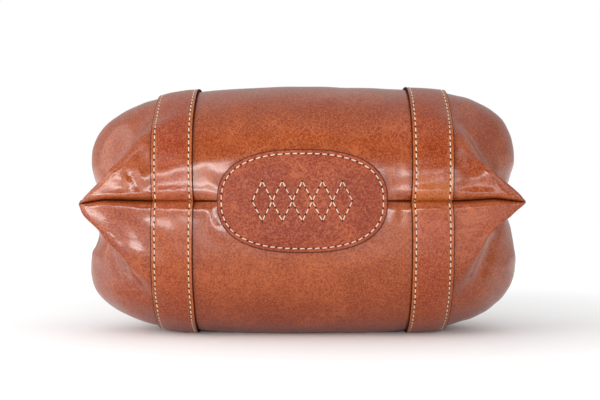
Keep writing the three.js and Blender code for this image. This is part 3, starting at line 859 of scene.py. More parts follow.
# Along a stitch: share of its length, then height and thickness as shares of the thread's radius.
STITCH_PROFILE = ((0, -0.9, 0.5), (0.08, -0.1, 0.85), (0.25, 0.3, 0.95), (0.5, 0.4, 1.0),
                  (0.75, 0.3, 0.95), (0.92, -0.1, 0.85), (1, -0.9, 0.5))
STITCH_SLANT = 0.35  # how far a stitch's ends lie aside of its line, as a share of its radius
STITCH_FLATNESS = 0.85  # its height as a share of its width


def build_stitches(name, lines, pitch, sizes, material):
    """Thread that shows as one short arched stroke a pitch. Each line has points, normals and
    the marks, in metres, that its needle holes are counted from, or None for a line of its own
    that is shared out evenly."""
    radius = sizes.thread / 2
    share, height, thick = np.array(STITCH_PROFILE).T
    shown = sizes.stitch_share
    turn = np.linspace(0, 2 * np.pi, STITCH_SIDES, endpoint=False)[:, None]
    slack = 0.01  # of a pitch, so that rounding drops no stitch
    grids = []
    for line, normals, marks in lines:
        if marks is None:
            whole = lengths(line)
            marks = whole * (max(1, round(whole[-1] / pitch)) * pitch / whole[-1])
        first, last = math.ceil(marks[0] / pitch - slack), math.floor(marks[-1] / pitch + slack)
        at = (np.arange(first, last)[:, None] + 0.5 + (share - 0.5) * shown) * pitch
        middle, normal = (np.stack([np.interp(at, marks, values[:, axis]) for axis in range(3)], -1)
                          for values in (line, normals))
        normal = unit(normal)
        ahead = unit(np.gradient(middle, axis=1))
        aside = unit(np.cross(normal, ahead))
        slant = (share - 0.5) * 2 * radius * STITCH_SLANT
        middle = middle + normal * (height * radius)[:, None] + aside * slant[:, None]
        ring = (aside[:, :, None] * np.cos(turn)
                + normal[:, :, None] * np.sin(turn) * STITCH_FLATNESS)
        grids.append(middle[:, :, None] + ring * (thick * radius)[:, None, None])
    rings = np.concatenate(grids)
    rings[..., 2] = np.maximum(rings[..., 2], 0)  # the floor presses them flat
    used = len(rings)
    size = len(share) * STITCH_SIDES
    quads = grid_faces(len(share), STITCH_SIDES, closed=True)
    quads = (quads + np.arange(used)[:, None, None] * size).reshape(-1, 4)
    ids = np.arange(used * size).reshape(used, len(share), STITCH_SIDES)
    caps = [stitch[0, ::-1].tolist() for stitch in ids] + [stitch[-1].tolist() for stitch in ids]
    along = np.broadcast_to((share * shown * pitch)[:, None], (used, len(share), STITCH_SIDES))
    around = np.broadcast_to(np.arange(STITCH_SIDES) / STITCH_SIDES, along.shape)
    uv = np.stack([along, around], -1)
    piece = make_piece(name, rings, quads, uv=uv, wrap=1.0, caps=caps)
    return dress(piece, material, "thread")


def strap_lines(half, side):
    """The two stitch lines of one strap."""
    skin = SKINS[half]
    sign = 1 if side == "right" else -1
    marks = strap_lengths(half, side) * MM
    lines = []
    for across in (STITCH_INSET, BAND_WIDTH - STITCH_INSET):
        points = strap_grid(half, side, np.array([across]), BAND_LEATHER - GROOVE)[:, 0]
        shift = strap_edge_shift(skin.points[:, skin.middle, 2])
        _, normals = skin.at(skin.w, sign * (BAND_INNER_X + across - shift)[:, None])
        lines.append((placed(points, half), turned(normals[:, 0], half), marks))
    return lines


def turned(vectors, half):
    """A direction in the bag's own terms, turned to the frame."""
    return vectors * (1, 1, 1 if half == "front" else -1)


def patch_border_pitch():
    """The pitch of the border's holes, counted along the patch's outline."""
    length = patch_turns(PATCH_SPOKES)[1]
    inner = patch_turns(PATCH_SPOKES, PATCH_INSET)[1]
    return length / round(inner / PATCH_PITCH)


def flat_normals(count):
    return np.tile([0.0, -1.0, 0.0], (count, 1))


def patch_border_line():
    """The border's stitch line, with its holes counted along the patch's outline."""
    count = PATCH_SPOKES * 3
    turns, length = patch_turns(count)
    outline = patch_outline(np.append(turns, turns[0] + 2 * np.pi), PATCH_INSET)
    points = patch_places(outline, GROOVE)
    return points, flat_normals(len(points)), np.linspace(0, length, count + 1) * MM


def motif_lines(sizes):
    """A chain of lozenges: two zigzag lines that cross, one the mirror image of the other."""
    step = sizes.motif_length / MM / LOZENGES
    reach = sizes.motif_width / MM / 2
    lines = []
    for sign in (1, -1):
        corners = [(-LOZENGES / 2 * step, 0)]
        for n in range(LOZENGES):
            corners.append(((n + 0.5 - LOZENGES / 2) * step, sign * reach * (-1) ** n))
        corners.append((LOZENGES / 2 * step, 0))
        for start, end in zip(corners, corners[1:]):
            points = patch_places(np.linspace(start, end, LEG_POINTS), -PATCH_PUFF)
            lines.append((points, flat_normals(LEG_POINTS), None))
    return lines


def motif_pitch(sizes):
    """The length of a motif stitch: so many to each leg of a lozenge."""
    leg = math.hypot(sizes.motif_length / LOZENGES, sizes.motif_width) / 2
    return leg / LEG_STITCHES


def zip_lines():
    """The stitch line along each edge of the mouth."""
    lines = []
    for half in ("front", "back"):
        x = MOUTH_STITCHES_HALF_LENGTH * np.linspace(-1, 1, MOUTH_STITCHES_POINTS)[None, :]
        points, normals = SKINS[half].at(np.array([MOUTH_STITCHES_W]), x)
        lines.append((placed(points[0], half), turned(normals[0], half), None))
    return lines


# ---- zip ---------------------------------------------------------------------------------------

TAPE_THICKNESS = 0.8
TAPE_HALF_LENGTH = 126.0
TAPE_ROWS = (14 / 15, 0.95, 0.967, 0.984, 1.0)  # sections of the panels that it lies under
TAPE_POINTS = 80  # along it
MOUTH_STITCHES_W = 0.978
MOUTH_STITCHES_HALF_LENGTH = 118.0
MOUTH_STITCHES_POINTS = 160
CHAIN_HALF_LENGTH = 112.0
CHAIN_TOP = GAP + 1.6  # over the tape, where the slider starts
TOOTH_PITCH = 2.6
TOOTH = (1.5, 1.7, 3.4)  # along, high and across
TOOTH_TIP = (0.62, 0.8, 1)  # its tip as shares of its root
TOOTH_ROUND = 0.25
TOOTH_REACH = 1.1  # from the middle of the chain to the middle of a tooth

SLIDER_X = -98.0
SLIDER = (13.0, 1.4, 8.6)  # along, high and across its plate
SLIDER_ROUND = 0.45
CHEEK = (11.8, 1.0, 3.75)  # along, across, and its distance from the slider's middle
CHEEK_ROUND = 0.3
BRIDGE = (2.6, 0.7)  # radius of the ring that holds the pull, and of its wire
BRIDGE_AT = (-1.5, 0.9)  # along, and over the plate's middle
PULL = (30.0, 1.6, 7.5)
PULL_OVERHANG = 2.0  # behind the slider's middle
PULL_CORNER = 2.6
PULL_ROUND = 0.35
PULL_HOLE = (1.6, 2.1)  # along, and its radius


def tape_layer(off):
    """A grid of the tape, `off` outside the panels' skin, from the front's side to the back's."""
    x = np.linspace(-TAPE_HALF_LENGTH, TAPE_HALF_LENGTH, TAPE_POINTS)
    columns = []
    for half in ("front", "back"):
        points, normals = SKINS[half].at(np.array(TAPE_ROWS), np.tile(x, (len(TAPE_ROWS), 1)))
        columns.append(placed(points + normals * off, half))
    middle = (columns[0][-1] + columns[1][-1]) / 2
    return np.concatenate([columns[0], middle[None], columns[1][::-1]])


def tape_top(x):
    """Where the outside of the tape's middle lies on Y, at a place along the bag."""
    line = tape_layer(-(LEATHER + GAP))[len(TAPE_ROWS)]
    return np.interp((x + CENTRE_X) * MM, line[:, 0], line[:, 1])


def on_tape(x, rise):
    """A place in metres on the zip's middle line, `rise` over the tape."""
    return (CENTRE_X + x) * MM, float(tape_top(x)) + rise * MM, SEAM_Z * MM


def build_tape(material):
    outer = tape_layer(-(LEATHER + GAP))
    inner = tape_layer(-(LEATHER + GAP + TAPE_THICKNESS))
    loop = np.concatenate([outer, inner[::-1]]).transpose(1, 0, 2)
    rows, columns = loop.shape[:2]
    ids = np.arange(rows * columns).reshape(rows, columns)
    caps = [ids[0, ::-1].tolist(), ids[-1].tolist()]
    piece = make_piece("zip_tape", loop, grid_faces(rows, columns, closed=True), caps=caps)
    return dress(piece, material, "tape_cloth", "zipper_tape")


# ---- zip hardware, shaped with Blender's own tools -----------------------------------------------


def start_block(name, middle, size):
    """A cube of the given size, in edit mode with nothing else selected."""
    bpy.ops.object.select_all(action="DESELECT")
    bpy.ops.mesh.primitive_cube_add(size=1, location=(0, 0, 0))
    block = bpy.context.object
    block.name = name
    block.scale = size
    block.location = middle
    bpy.ops.object.transform_apply(location=True, rotation=False, scale=True)
    return block


def round_edges(block, width, segments, angle=30):
    bevel = block.modifiers.new("rounded", "BEVEL")
    bevel.width = width
    bevel.segments = segments
    bevel.limit_method = "ANGLE"
    bevel.angle_limit = math.radians(angle)
    bpy.context.view_layer.objects.active = block
    bpy.ops.object.modifier_apply(modifier=bevel.name)


def build_teeth(material):
    """Two rows of brass teeth that mesh at the middle of the tape."""
    along, high, across = (value * MM for value in TOOTH)
    tooth = start_block("tooth", (0, 0, 0), (along, high, across))
    bpy.ops.object.mode_set(mode="EDIT")
    bpy.ops.mesh.select_all(action="DESELECT")
    bpy.ops.mesh.select_mode(type="FACE")
    mesh = bmesh.from_edit_mesh(tooth.data)
    for face in mesh.faces:
        face.select = face.normal.z > 0.9
    bmesh.update_edit_mesh(tooth.data)
    bpy.ops.transform.resize(value=TOOTH_TIP)
    bpy.ops.object.mode_set(mode="OBJECT")
    round_edges(tooth, TOOTH_ROUND * MM, 1)
    points = np.array([vertex.co for vertex in tooth.data.vertices])
    faces = [tuple(face.vertices) for face in tooth.data.polygons]
    bpy.data.objects.remove(tooth)

    count = int(2 * CHAIN_HALF_LENGTH / TOOTH_PITCH)
    places, loops = [], []
    for n in range(2 * count):
        x = -CHAIN_HALF_LENGTH + (n + 0.5) * TOOTH_PITCH / 2
        side = 1 if n % 2 else -1
        local = points * (1, 1, side) - (0, 0, side * TOOTH_REACH * MM)
        start = n * len(points)
        loops += [tuple(start + i for i in face[::side]) for face in faces]
        places.append(local + on_tape(x, GAP + TOOTH[1] / 2))
    piece = make_piece("zip_teeth", np.concatenate(places), np.empty((0, 4), int), caps=loops)
    shade_flat_edges(piece)
    return dress(piece, material, "zip_metal", "zipper_teeth")


def shade_flat_edges(piece, angle=35):
    bpy.ops.object.select_all(action="DESELECT")
    piece.select_set(True)
    bpy.context.view_layer.objects.active = piece
    bpy.ops.object.shade_smooth_by_angle(angle=math.radians(angle))


def cut(block, tool):
    """Takes the tool's shape out of a block."""
    boolean = block.modifiers.new("cut", "BOOLEAN")
    boolean.operation = "DIFFERENCE"
    boolean.object = tool
    bpy.context.view_layer.objects.active = block
    bpy.ops.object.modifier_apply(modifier=boolean.name)
    bpy.data.objects.remove(tool)


def lay_on_tape(piece):
    """Moves a piece made at the origin to the slider's place, as steep as the tape is there."""
    ahead = SLIDER_X + PULL[0]
    rise = float(tape_top(ahead) - tape_top(SLIDER_X))
    turn = Matrix.Rotation(math.atan(rise / (PULL[0] * MM)), 4, "Z")
    piece.data.transform(Matrix.Translation(on_tape(SLIDER_X, 0)) @ turn)


def build_slider_body(material):
    """The slider's plate, its two cheeks and the ring that holds the pull."""
    plate_at = CHAIN_TOP + GAP + SLIDER[1] / 2
    plate = start_block("slider_body", (0, plate_at * MM, 0), np.array(SLIDER) * MM)
    round_edges(plate, SLIDER_ROUND * MM, 3)
    parts = [plate]
    length, width, aside = (value * MM for value in CHEEK)
    for side in (-1, 1):
        cheek = start_block("cheek", (0, (GAP + plate_at) / 2 * MM, side * aside),
                            (length, (plate_at - GAP) * MM, width))
        round_edges(cheek, CHEEK_ROUND * MM, 2)
        parts.append(cheek)
    along, rise = BRIDGE_AT
    bpy.ops.mesh.primitive_torus_add(major_radius=BRIDGE[0] * MM, minor_radius=BRIDGE[1] * MM,
                                     major_segments=28, minor_segments=10,
                                     location=(along * MM, (plate_at + rise) * MM, 0))
    parts.append(bpy.context.object)
    bpy.ops.object.transform_apply(location=True, rotation=False, scale=False)
    bpy.ops.object.select_all(action="DESELECT")
    for part in parts:
        part.select_set(True)
    bpy.context.view_layer.objects.active = plate
    bpy.ops.object.join()
    shade_flat_edges(plate)
    lay_on_tape(plate)
    return dress(plate, material, "zip_metal", "zipper_slider")


def build_slider_pull(material):
    """The pull, a plate with round corners and a hole for the slider's ring."""
    pull_at = CHAIN_TOP + GAP + SLIDER[1] + PULL[1] / 2
    pull = start_block("slider_pull", ((PULL[0] / 2 - PULL_OVERHANG) * MM, pull_at * MM, 0),
                       np.array(PULL) * MM)
    bpy.ops.object.mode_set(mode="EDIT")
    bpy.ops.mesh.select_all(action="DESELECT")
    bpy.ops.mesh.select_mode(type="EDGE")
    mesh = bmesh.from_edit_mesh(pull.data)
    for edge in mesh.edges:
        a, b = edge.verts
        edge.select = abs(a.co.y - b.co.y) > PULL[1] / 2 * MM
    bmesh.update_edit_mesh(pull.data)
    bpy.ops.mesh.bevel(offset=PULL_CORNER * MM, segments=6, affect="EDGES")
    bpy.ops.object.mode_set(mode="OBJECT")
    along, radius = PULL_HOLE
    bpy.ops.mesh.primitive_cylinder_add(vertices=24, radius=radius * MM, depth=0.01,
                                        location=(along * MM, pull_at * MM, 0),
                                        rotation=(math.pi / 2, 0, 0))
    cut(pull, bpy.context.object)
    round_edges(pull, PULL_ROUND * MM, 2)
    shade_flat_edges(pull)
    lay_on_tape(pull)
    return dress(pull, material, "zip_metal", "zipper_slider")


# ---- materials ---------------------------------------------------------------------------------


def linear(red, green, blue):
    """A colour as it looks on screen, 0 to 255, as the linear values that shaders take."""
    shares = np.array([red, green, blue]) / 255
    light = np.where(shares <= 0.04045, shares / 12.92, ((shares + 0.055) / 1.055) ** 2.4)
    return (*light.tolist(), 1.0)


def toned(tone, share):
    """A colour made darker or lighter by a share."""
    return (*(min(1, value * share) for value in tone[:3]), 1.0)


class Tree:
    """Short calls that add the nodes of a material or group and join them."""

    def __init__(self, tree):
        self.tree = tree

    def put(self, socket, value):
        if isinstance(value, bpy.types.NodeSocket):
            self.tree.links.new(value, socket)
        else:
            socket.default_value = value

    def add(self, kind, inputs=None, **settings):
        node = self.tree.nodes.new(kind)
        for key, value in settings.items():
            setattr(node, key, value)
        for key, value in (inputs or {}).items():
            self.put(node.inputs[key], value)
        return node

    def math(self, operation, *values):
        node = self.add("ShaderNodeMath", operation=operation)
        for socket, value in zip(node.inputs, values):
            self.put(socket, value)
        return node.outputs[0]

    def times(self, first, second):
        return self.math("MULTIPLY", first, second)

    def total(self, *values):
        """The sum of all values. A pair is a value and its weight."""
        sum_ = None
        for value in values:
            if isinstance(value, tuple):
                value = self.times(*value)
            sum_ = value if sum_ is None else self.math("ADD", sum_, value)
        return sum_

    def ramp(self, value, low, high, start=0.0, end=1.0):
        """Takes low..high smoothly to start..end."""
        return self.add("ShaderNodeMapRange", {
            "Value": value, "From Min": low, "From Max": high, "To Min": start, "To Max": end,
        }, interpolation_type="SMOOTHSTEP").outputs["Result"]

    def mix(self, share, first, second, blend="MIX"):
        node = self.add("ShaderNodeMix", data_type="RGBA", blend_type=blend)
        self.put(node.inputs[0], share)
        self.put(node.inputs[6], first)
        self.put(node.inputs[7], second)
        return node.outputs[2]

    def noise(self, place, scale, detail=3.0, roughness=0.55):
        return self.add("ShaderNodeTexNoise", {
            "Vector": place, "Scale": scale, "Detail": detail, "Roughness": roughness,
        }).outputs[0]

    def cells(self, place, scale):
        """The distance to the nearest edge of a net of cells."""
        return self.add("ShaderNodeTexVoronoi", {"Vector": place, "Scale": scale},
                        feature="DISTANCE_TO_EDGE").outputs["Distance"]

    def scaled(self, vector, share):
        node = self.add("ShaderNodeVectorMath", {0: vector}, operation="SCALE")
        node.inputs["Scale"].default_value = share
        return node.outputs[0]

    def split(self, vector):
        return self.add("ShaderNodeSeparateXYZ", {0: vector}).outputs

    def turned(self, place, angle, scale):
        """Places turned about Y by an angle, then stretched."""
        aligned = self.add("ShaderNodeMapping", {"Vector": place, "Rotation": (0, angle, 0)})
        return self.add("ShaderNodeMapping", {"Vector": aligned.outputs[0],
                                              "Scale": scale}).outputs[0]

    def warped(self, place, scale, reach):
        """Places moved about by a soft noise, by up to half of `reach`."""
        noise = self.add("ShaderNodeTexNoise", {"Vector": place, "Scale": scale, "Detail": 2.0})
        centred = self.add("ShaderNodeVectorMath", {0: noise.outputs["Color"], 1: (0.5, 0.5, 0.5)},
                           operation="SUBTRACT").outputs[0]
        return self.add("ShaderNodeVectorMath", {0: place, 1: self.scaled(centred, reach)},
                        operation="ADD").outputs[0]


def start_group(name, inputs, outputs):
    """A new node group from (name, kind, default) inputs and (name, kind) outputs."""
    group = bpy.data.node_groups.new(name, "ShaderNodeTree")
    for label, kind, value in inputs:
        socket = group.interface.new_socket(label, in_out="INPUT", socket_type=kind)
        if value is not None:
            socket.default_value = value
    for label, kind in outputs:
        group.interface.new_socket(label, in_out="OUTPUT", socket_type=kind)
    tree = Tree(group)
    return tree, tree.add("NodeGroupInput").outputs, tree.add("NodeGroupOutput").inputs


FLOAT, COLOUR, VECTOR = "NodeSocketFloat", "NodeSocketColor", "NodeSocketVector"


# Fine pale lines in the leather: the angle, the scale and the half width of each layer. The
# first are long strands of noise, and the others the edges of nets of cells.
HAIR_STRANDS = ((0.75, 60.0, 0.012), (-0.8, 52.0, 0.011), (0.3, 16.0, 0.005))
HAIR_NETS = ((0.6, 190.0, 0.035), (-0.9, 120.0, 0.022))
STRAND_STRETCH = (1.0, 1.0, 6.0)
NET_STRETCH = (1.0, 1.0, 0.5)
# Creases, drawn as pale lines that are painted highlights, over a slight relief: which mask shows
# them, and how they are stretched.
CREASES = (("Level", (1.0, 1.0, 7.0)), ("Upright", (6.0, 1.0, 1.0)))
CREASE_ANGLE = 0.12
NEEDLE_HOLE = 0.00052  # its radius, in metres


def hair_lines(t, place):
    """1 on the pale hair lines, which come in patches."""
    hairs = []
    for angle, scale, thin in HAIR_STRANDS:
        strand = t.noise(t.turned(t.warped(place, 60.0, 0.006), angle, STRAND_STRETCH),
                         scale, 3.0, 0.6)
        off = t.math("ABSOLUTE", t.math("SUBTRACT", strand, 0.5))
        hairs.append(t.ramp(off, thin * 0.3, thin * 1.3, 1.0, 0.0))
    for angle, scale, thin in HAIR_NETS:
        net = t.turned(t.warped(place, 70.0, 0.005), angle, NET_STRETCH)
        hairs.append(t.ramp(t.cells(net, scale), thin * 0.3, thin, 1.0, 0.0))
    most = hairs[0]
    for line in hairs[1:]:
        most = t.math("MAXIMUM", most, line)
    return t.times(most, t.ramp(t.noise(place, 34.0, 2.0), 0.4, 0.66))


def crease_lines(t, place, masks):
    """1 on the creases, where their masks show them: where the leather gets its painted highlight
    along each crease.
    """
    bent = t.warped(place, 60.0, 0.003)
    lines = []
    for mask, stretch in CREASES:
        line = t.noise(t.turned(bent, CREASE_ANGLE, stretch), 60.0, 2.0, 0.55)
        lines.append(t.times(t.ramp(line, 0.47, 0.57), masks[mask]))
    return t.total(*lines)


def leather_group():
    """Waxed pull-up leather: cloudy colour, a pebbled grain, pale hair lines, and fine creases with
    painted highlights along them.
    """
    t, given, out = start_group("waxed_leather", (
        ("Place", VECTOR, None),
        ("Deep", COLOUR, (0.2, 0.05, 0.02, 1)),
        ("Body", COLOUR, (0.4, 0.1, 0.04, 1)),
        ("Pale", COLOUR, (0.6, 0.25, 0.12, 1)),
        ("Gold", COLOUR, (0.45, 0.2, 0.05, 1)),
        ("Rose", COLOUR, (0.4, 0.12, 0.08, 1)),
        ("Golden", FLOAT, 0.0),
        ("Ruddy", FLOAT, 0.0),
        ("Level", FLOAT, 0.0),
        ("Upright", FLOAT, 0.0),
        ("Shade", FLOAT, 0.0),
        ("Lines", FLOAT, 0.5),
        ("Gloss", FLOAT, 0.4),
    ), (("Colour", COLOUR), ("Roughness", FLOAT), ("Height", FLOAT)))
    place, deep, pale = given["Place"], given["Deep"], given["Pale"]
    clouds = t.noise(place, 26.0, 3.0, 0.55)
    mottle = t.noise(place, 150.0, 4.0, 0.65)
    pores = t.noise(place, 950.0, 2.0, 0.9)
    pebbles = t.ramp(t.cells(t.warped(place, 500.0, 0.0012), 820.0), 0.02, 0.3)
    hairs = t.times(hair_lines(t, place), given["Lines"])
    creases = crease_lines(t, place, given)

    shade = t.mix(t.ramp(clouds, 0.34, 0.6, 0.8, 1.0), deep, given["Body"])
    for share, tone in (
            (given["Ruddy"], given["Rose"]),
            (given["Golden"], given["Gold"]),
            (t.ramp(mottle, 0.45, 0.75, 0.0, 0.25), pale),
            (t.ramp(mottle, 0.5, 0.25, 0.0, 0.2), deep),
            (t.ramp(pebbles, 0.0, 1.0, 0.3, 0.0), deep),
            (t.ramp(pores, 0.48, 0.62, 0.0, 0.9), pale),
            (t.ramp(pores, 0.52, 0.38, 0.0, 0.9), deep),
            (t.times(hairs, 0.6), t.scaled(pale, 1.3)),
            # painted highlight: the leather is made pale along the creases
            (t.times(creases, 0.85), pale),
            (given["Shade"], t.scaled(deep, 0.3)),
    ):
        shade = t.mix(share, shade, tone)
    t.put(out["Colour"], shade)
    t.put(out["Roughness"], t.total(given["Gloss"], t.ramp(mottle, 0.3, 0.7, -0.05, 0.07),
                                    (hairs, 0.08), (given["Shade"], 0.5)))
    t.put(out["Height"], t.total((pebbles, 0.4), (pores, 0.5), (mottle, 1.2), (creases, 1.6),
                                 (hairs, -0.3)))
    return t.tree


def holes_group():
    """Needle holes along a stitch line. It reads a map of metres: the distance from the piece's
    edge and the distance along the line."""
    t, given, out = start_group("needle_holes", (
        ("Across", FLOAT, 0.0),
        ("Along", FLOAT, 0.0),
        ("Inset", FLOAT, 0.0024),
        ("Pitch", FLOAT, 0.004),
        ("Hole", FLOAT, NEEDLE_HOLE),
    ), (("Hole", FLOAT),))
    aside = t.math("SUBTRACT", given["Across"], given["Inset"])
    from_hole = t.math("SUBTRACT", given["Along"], nearest(t, given["Along"], given["Pitch"]))
    t.put(out["Hole"], hole_mark(t, aside, from_hole, given["Hole"]))
    return t.tree


def nearest(t, along, pitch):
    """The place of the nearest hole on a line."""
    return t.math("SNAP", t.total(along, (pitch, 0.5)), pitch)


def hole_mark(t, aside, along, radius):
    """1 in a hole, falling to 0 round it, from the distance to its middle in two directions."""
    distance = t.math("SQRT", t.total((aside, aside), (along, along)))
    return t.ramp(t.math("DIVIDE", distance, radius), 0.7, 1.15, 1.0, 0.0)


def lozenge_group():
    """Needle holes along the lozenges' legs. It reads the distance along the patch and across it
    from the middle of the chain."""
    t, given, out = start_group("lozenge_holes", (
        ("Along", FLOAT, 0.0),
        ("Across", FLOAT, 0.0),
        ("Half Step", FLOAT, 0.006),
        ("Reach", FLOAT, 0.012),
        ("Stitches", FLOAT, 3.0),
        ("Length", FLOAT, 0.06),
        ("Hole", FLOAT, NEEDLE_HOLE),
    ), (("Hole", FLOAT),))
    place = nearest(t, given["Along"], t.math("DIVIDE", given["Half Step"], given["Stitches"]))
    slope = t.math("DIVIDE", given["Reach"], given["Half Step"])
    from_end = t.total(place, (given["Length"], 0.5))
    line = t.times(t.math("PINGPONG", from_end, given["Half Step"]), slope)
    aside = t.math("SUBTRACT", t.math("ABSOLUTE", given["Across"]), line)
    hole = hole_mark(t, aside, t.math("SUBTRACT", given["Along"], place), given["Hole"])
    reach = t.total(0.001, (given["Length"], 0.5))
    inside = t.math("LESS_THAN", t.math("ABSOLUTE", given["Along"]), reach)
    t.put(out["Hole"], t.times(hole, inside))
    return t.tree


def new_material(name):
    """A material, its tree, its shader and the places on the piece that it covers."""
    material = bpy.data.materials.new(name)
    material.use_nodes = True
    t = Tree(material.node_tree)
    place = t.add("ShaderNodeTexCoord").outputs["Object"]
    return material, t, material.node_tree.nodes["Principled BSDF"], place


def use_group(tree, name, **inputs):
    node = tree.add("ShaderNodeGroup", node_tree=bpy.data.node_groups[name])
    for key, value in inputs.items():
        tree.put(node.inputs[key.replace("_", " ")], value)
    return node.outputs


def bump(tree, height, distance):
    return tree.add("ShaderNodeBump", {"Height": height, "Distance": distance,
                                       "Strength": 1.0}).outputs[0]


def finish(t, shader, colour, roughness, height, depth):
    """Joins a colour, a roughness and a relief of the given depth to the shader."""
    t.put(shader.inputs["Base Color"], colour)
    t.put(shader.inputs["Roughness"], roughness)
    t.put(shader.inputs["Normal"], bump(t, height, depth))


def line_holes(t, across, along, stitching):
    """Needle holes along the stitch lines of a piece, from its own map."""
    inset, _, pitch = stitching
    return use_group(t, "needle_holes", Across=across, Along=along, Inset=inset,
                     Pitch=pitch)["Hole"]


def motif_holes(t, place, motif):
    """Needle holes of the lozenges, from the places on the patch."""
    length, reach, stitches = motif
    x, _, z = t.split(place)
    return use_group(t, "lozenge_holes", Along=t.math("SUBTRACT", x, CENTRE_X * MM),
                     Across=t.math("SUBTRACT", z, SEAM_Z * MM), Length=length, Reach=reach,
                     Stitches=stitches, Half_Step=length / LOZENGES / 2)["Hole"]


GRAIN_DEPTH = 0.00006
HOLE_DEPTH = 6.0  # times the grain's
COAT_ROUGHNESS = 0.2
SPECULAR = 0.12
PLIES_ALONG = 1400.0  # plies of the thread seen along a metre of it
PLIES_ROUND = 2.0  # and once round it
THREAD_DEPTH = 0.00012
TWILL = 3600.0  # radians a metre across the tape's ribs, and across its weft
TWILL_SLANT = 0.8
WEFT = 5200.0
WEAVE_DEPTH = 0.0002
SCRATCH_DEPTH = 0.00003
FLOOR_GLOW = 0.36
FLOOR_GLOW_RISE = (0.1, 0.7)  # metres from the bag


def leather_material(name, tones, gloss, lines, coat, stitching=None, motif=None, edge=None,
                     edge_and_shadow_depth=1.0):
    """A leather from its tones. stitching is the inset, width and pitch, in metres, of the stitch
    lines on the piece's own map, motif is the length, width and stitches of the lozenges, and
    edge is how far in from its cut edge the leather is darkened: the dark cut edge itself, and a
    painted shadow line along the step where the piece stands over the leather under it."""
    material, t, shader, place = new_material(name)
    tint = {key: t.add("ShaderNodeAttribute", attribute_name=key.lower()).outputs["Fac"]
            for key in ("Golden", "Ruddy", "Level", "Upright", "Shade")}
    holes = None
    if stitching:
        across, along, _ = t.split(t.add("ShaderNodeUVMap", uv_map="along").outputs[0])
        if stitching[1]:
            across = t.math("MINIMUM", across, t.math("SUBTRACT", stitching[1], across))
        holes = line_holes(t, across, along, stitching)
        if edge:
            # Darker near the cut edge: partly the dark cut edge itself, partly a painted shadow
            # line along the step down to the leather under the piece.
            dark = t.ramp(across, edge * 0.5, edge, edge_and_shadow_depth, 0.0)
            tint["Shade"] = t.math("MAXIMUM", tint["Shade"], dark)
    if motif:
        holes = t.math("MAXIMUM", holes, motif_holes(t, place, motif))
    if holes:
        tint["Shade"] = t.math("MAXIMUM", tint["Shade"], holes)
    surface = use_group(t, "waxed_leather", Place=place, Lines=lines, Gloss=gloss, **tint, **tones)
    relief = surface["Height"]
    if holes:
        relief = t.math("SUBTRACT", relief, t.times(holes, HOLE_DEPTH))
    finish(t, shader, surface["Colour"], surface["Roughness"], relief, GRAIN_DEPTH)
    t.put(shader.inputs["Coat Weight"], t.times(t.math("SUBTRACT", 1.0, tint["Shade"]), coat))
    shader.inputs["Coat Roughness"].default_value = COAT_ROUGHNESS
    shader.inputs["Specular IOR Level"].default_value = SPECULAR
    return material


def thread_material(tone):
    """Waxed thread whose plies twist round it, with painted shade in the grooves between the plies,
    and patches of dirt.
    """
    material, t, shader, place = new_material("thread")
    along, around, _ = t.split(t.add("ShaderNodeUVMap", uv_map="along").outputs[0])
    turns = t.total((along, PLIES_ALONG), (around, PLIES_ROUND))
    plies = t.math("ABSOLUTE", t.math("SINE", t.times(turns, math.pi)))
    fuzz = t.noise(place, 2600.0, 2.0)
    dirt = t.ramp(t.noise(place, 60.0, 2.0), 0.35, 0.7)
    groove_shade_and_dirt = toned(tone, 0.62)
    # painted shade: darker in the grooves between the plies
    shade = t.mix(t.ramp(plies, 0.0, 0.7, 0.55, 0.0), tone, groove_shade_and_dirt)
    shade = t.mix(t.times(dirt, 0.35), shade, groove_shade_and_dirt)
    finish(t, shader, shade, t.ramp(fuzz, 0.3, 0.7, 0.5, 0.8), t.total(plies, (fuzz, 0.4)),
           THREAD_DEPTH)
    return material


def tape_material(tone):
    """Twill tape: fine slanting ribs, painted lighter on the crests of its weave as a highlight."""
    material, t, shader, place = new_material("zip_tape")
    x, _, z = t.split(place)
    rib = t.math("ABSOLUTE", t.math("SINE", t.times(t.total(x, (z, TWILL_SLANT)), TWILL)))
    weft = t.math("ABSOLUTE", t.math("SINE", t.times(z, WEFT)))
    weave = t.times(rib, weft)
    lint = t.noise(place, 700.0, 3.0)
    # painted highlight: lighter on the raised crests of the weave, in patches
    shade = t.mix(t.times(weave, lint), tone, toned(tone, 1.9))
    finish(t, shader, shade, t.ramp(lint, 0.3, 0.7, 0.8, 0.95), weave, WEAVE_DEPTH)
    return material


def brass_material(tone):
    """Antiqued brass with fine scratches, darker where it has tarnished."""
    material, t, shader, place = new_material("zip_brass")
    tarnish = t.ramp(t.noise(place, 260.0, 4.0, 0.65), 0.4, 0.68)
    scratches = t.noise(t.turned(place, 0.5, (1.0, 1.0, 14.0)), 420.0, 3.0)
    rough = t.total(t.ramp(scratches, 0.35, 0.65, 0.24, 0.36), (tarnish, 0.14))
    shade = t.mix(t.times(tarnish, 0.6), tone, toned(tone, 0.35))
    finish(t, shader, shade, rough, scratches, SCRATCH_DEPTH)
    shader.inputs["Metallic"].default_value = 1.0
    return material


def floor_material(tone):
    """A pale floor that brightens away from the bag, like a lit sweep."""
    material, t, shader, place = new_material("studio_floor")
    soft = t.noise(place, 3.0, 2.0)
    t.put(shader.inputs["Base Color"], t.mix(soft, tone, toned(tone, 0.985)))
    t.put(shader.inputs["Roughness"], t.ramp(soft, 0.3, 0.7, 0.7, 0.8))
    far = t.add("ShaderNodeVectorMath", {0: place}, operation="LENGTH").outputs["Value"]
    glow = t.mix(t.ramp(far, *FLOOR_GLOW_RISE), (0, 0, 0, 1), (1, 1, 1, 1))
    t.put(shader.inputs["Emission Color"], glow)
    shader.inputs["Emission Strength"].default_value = FLOOR_GLOW
    return material


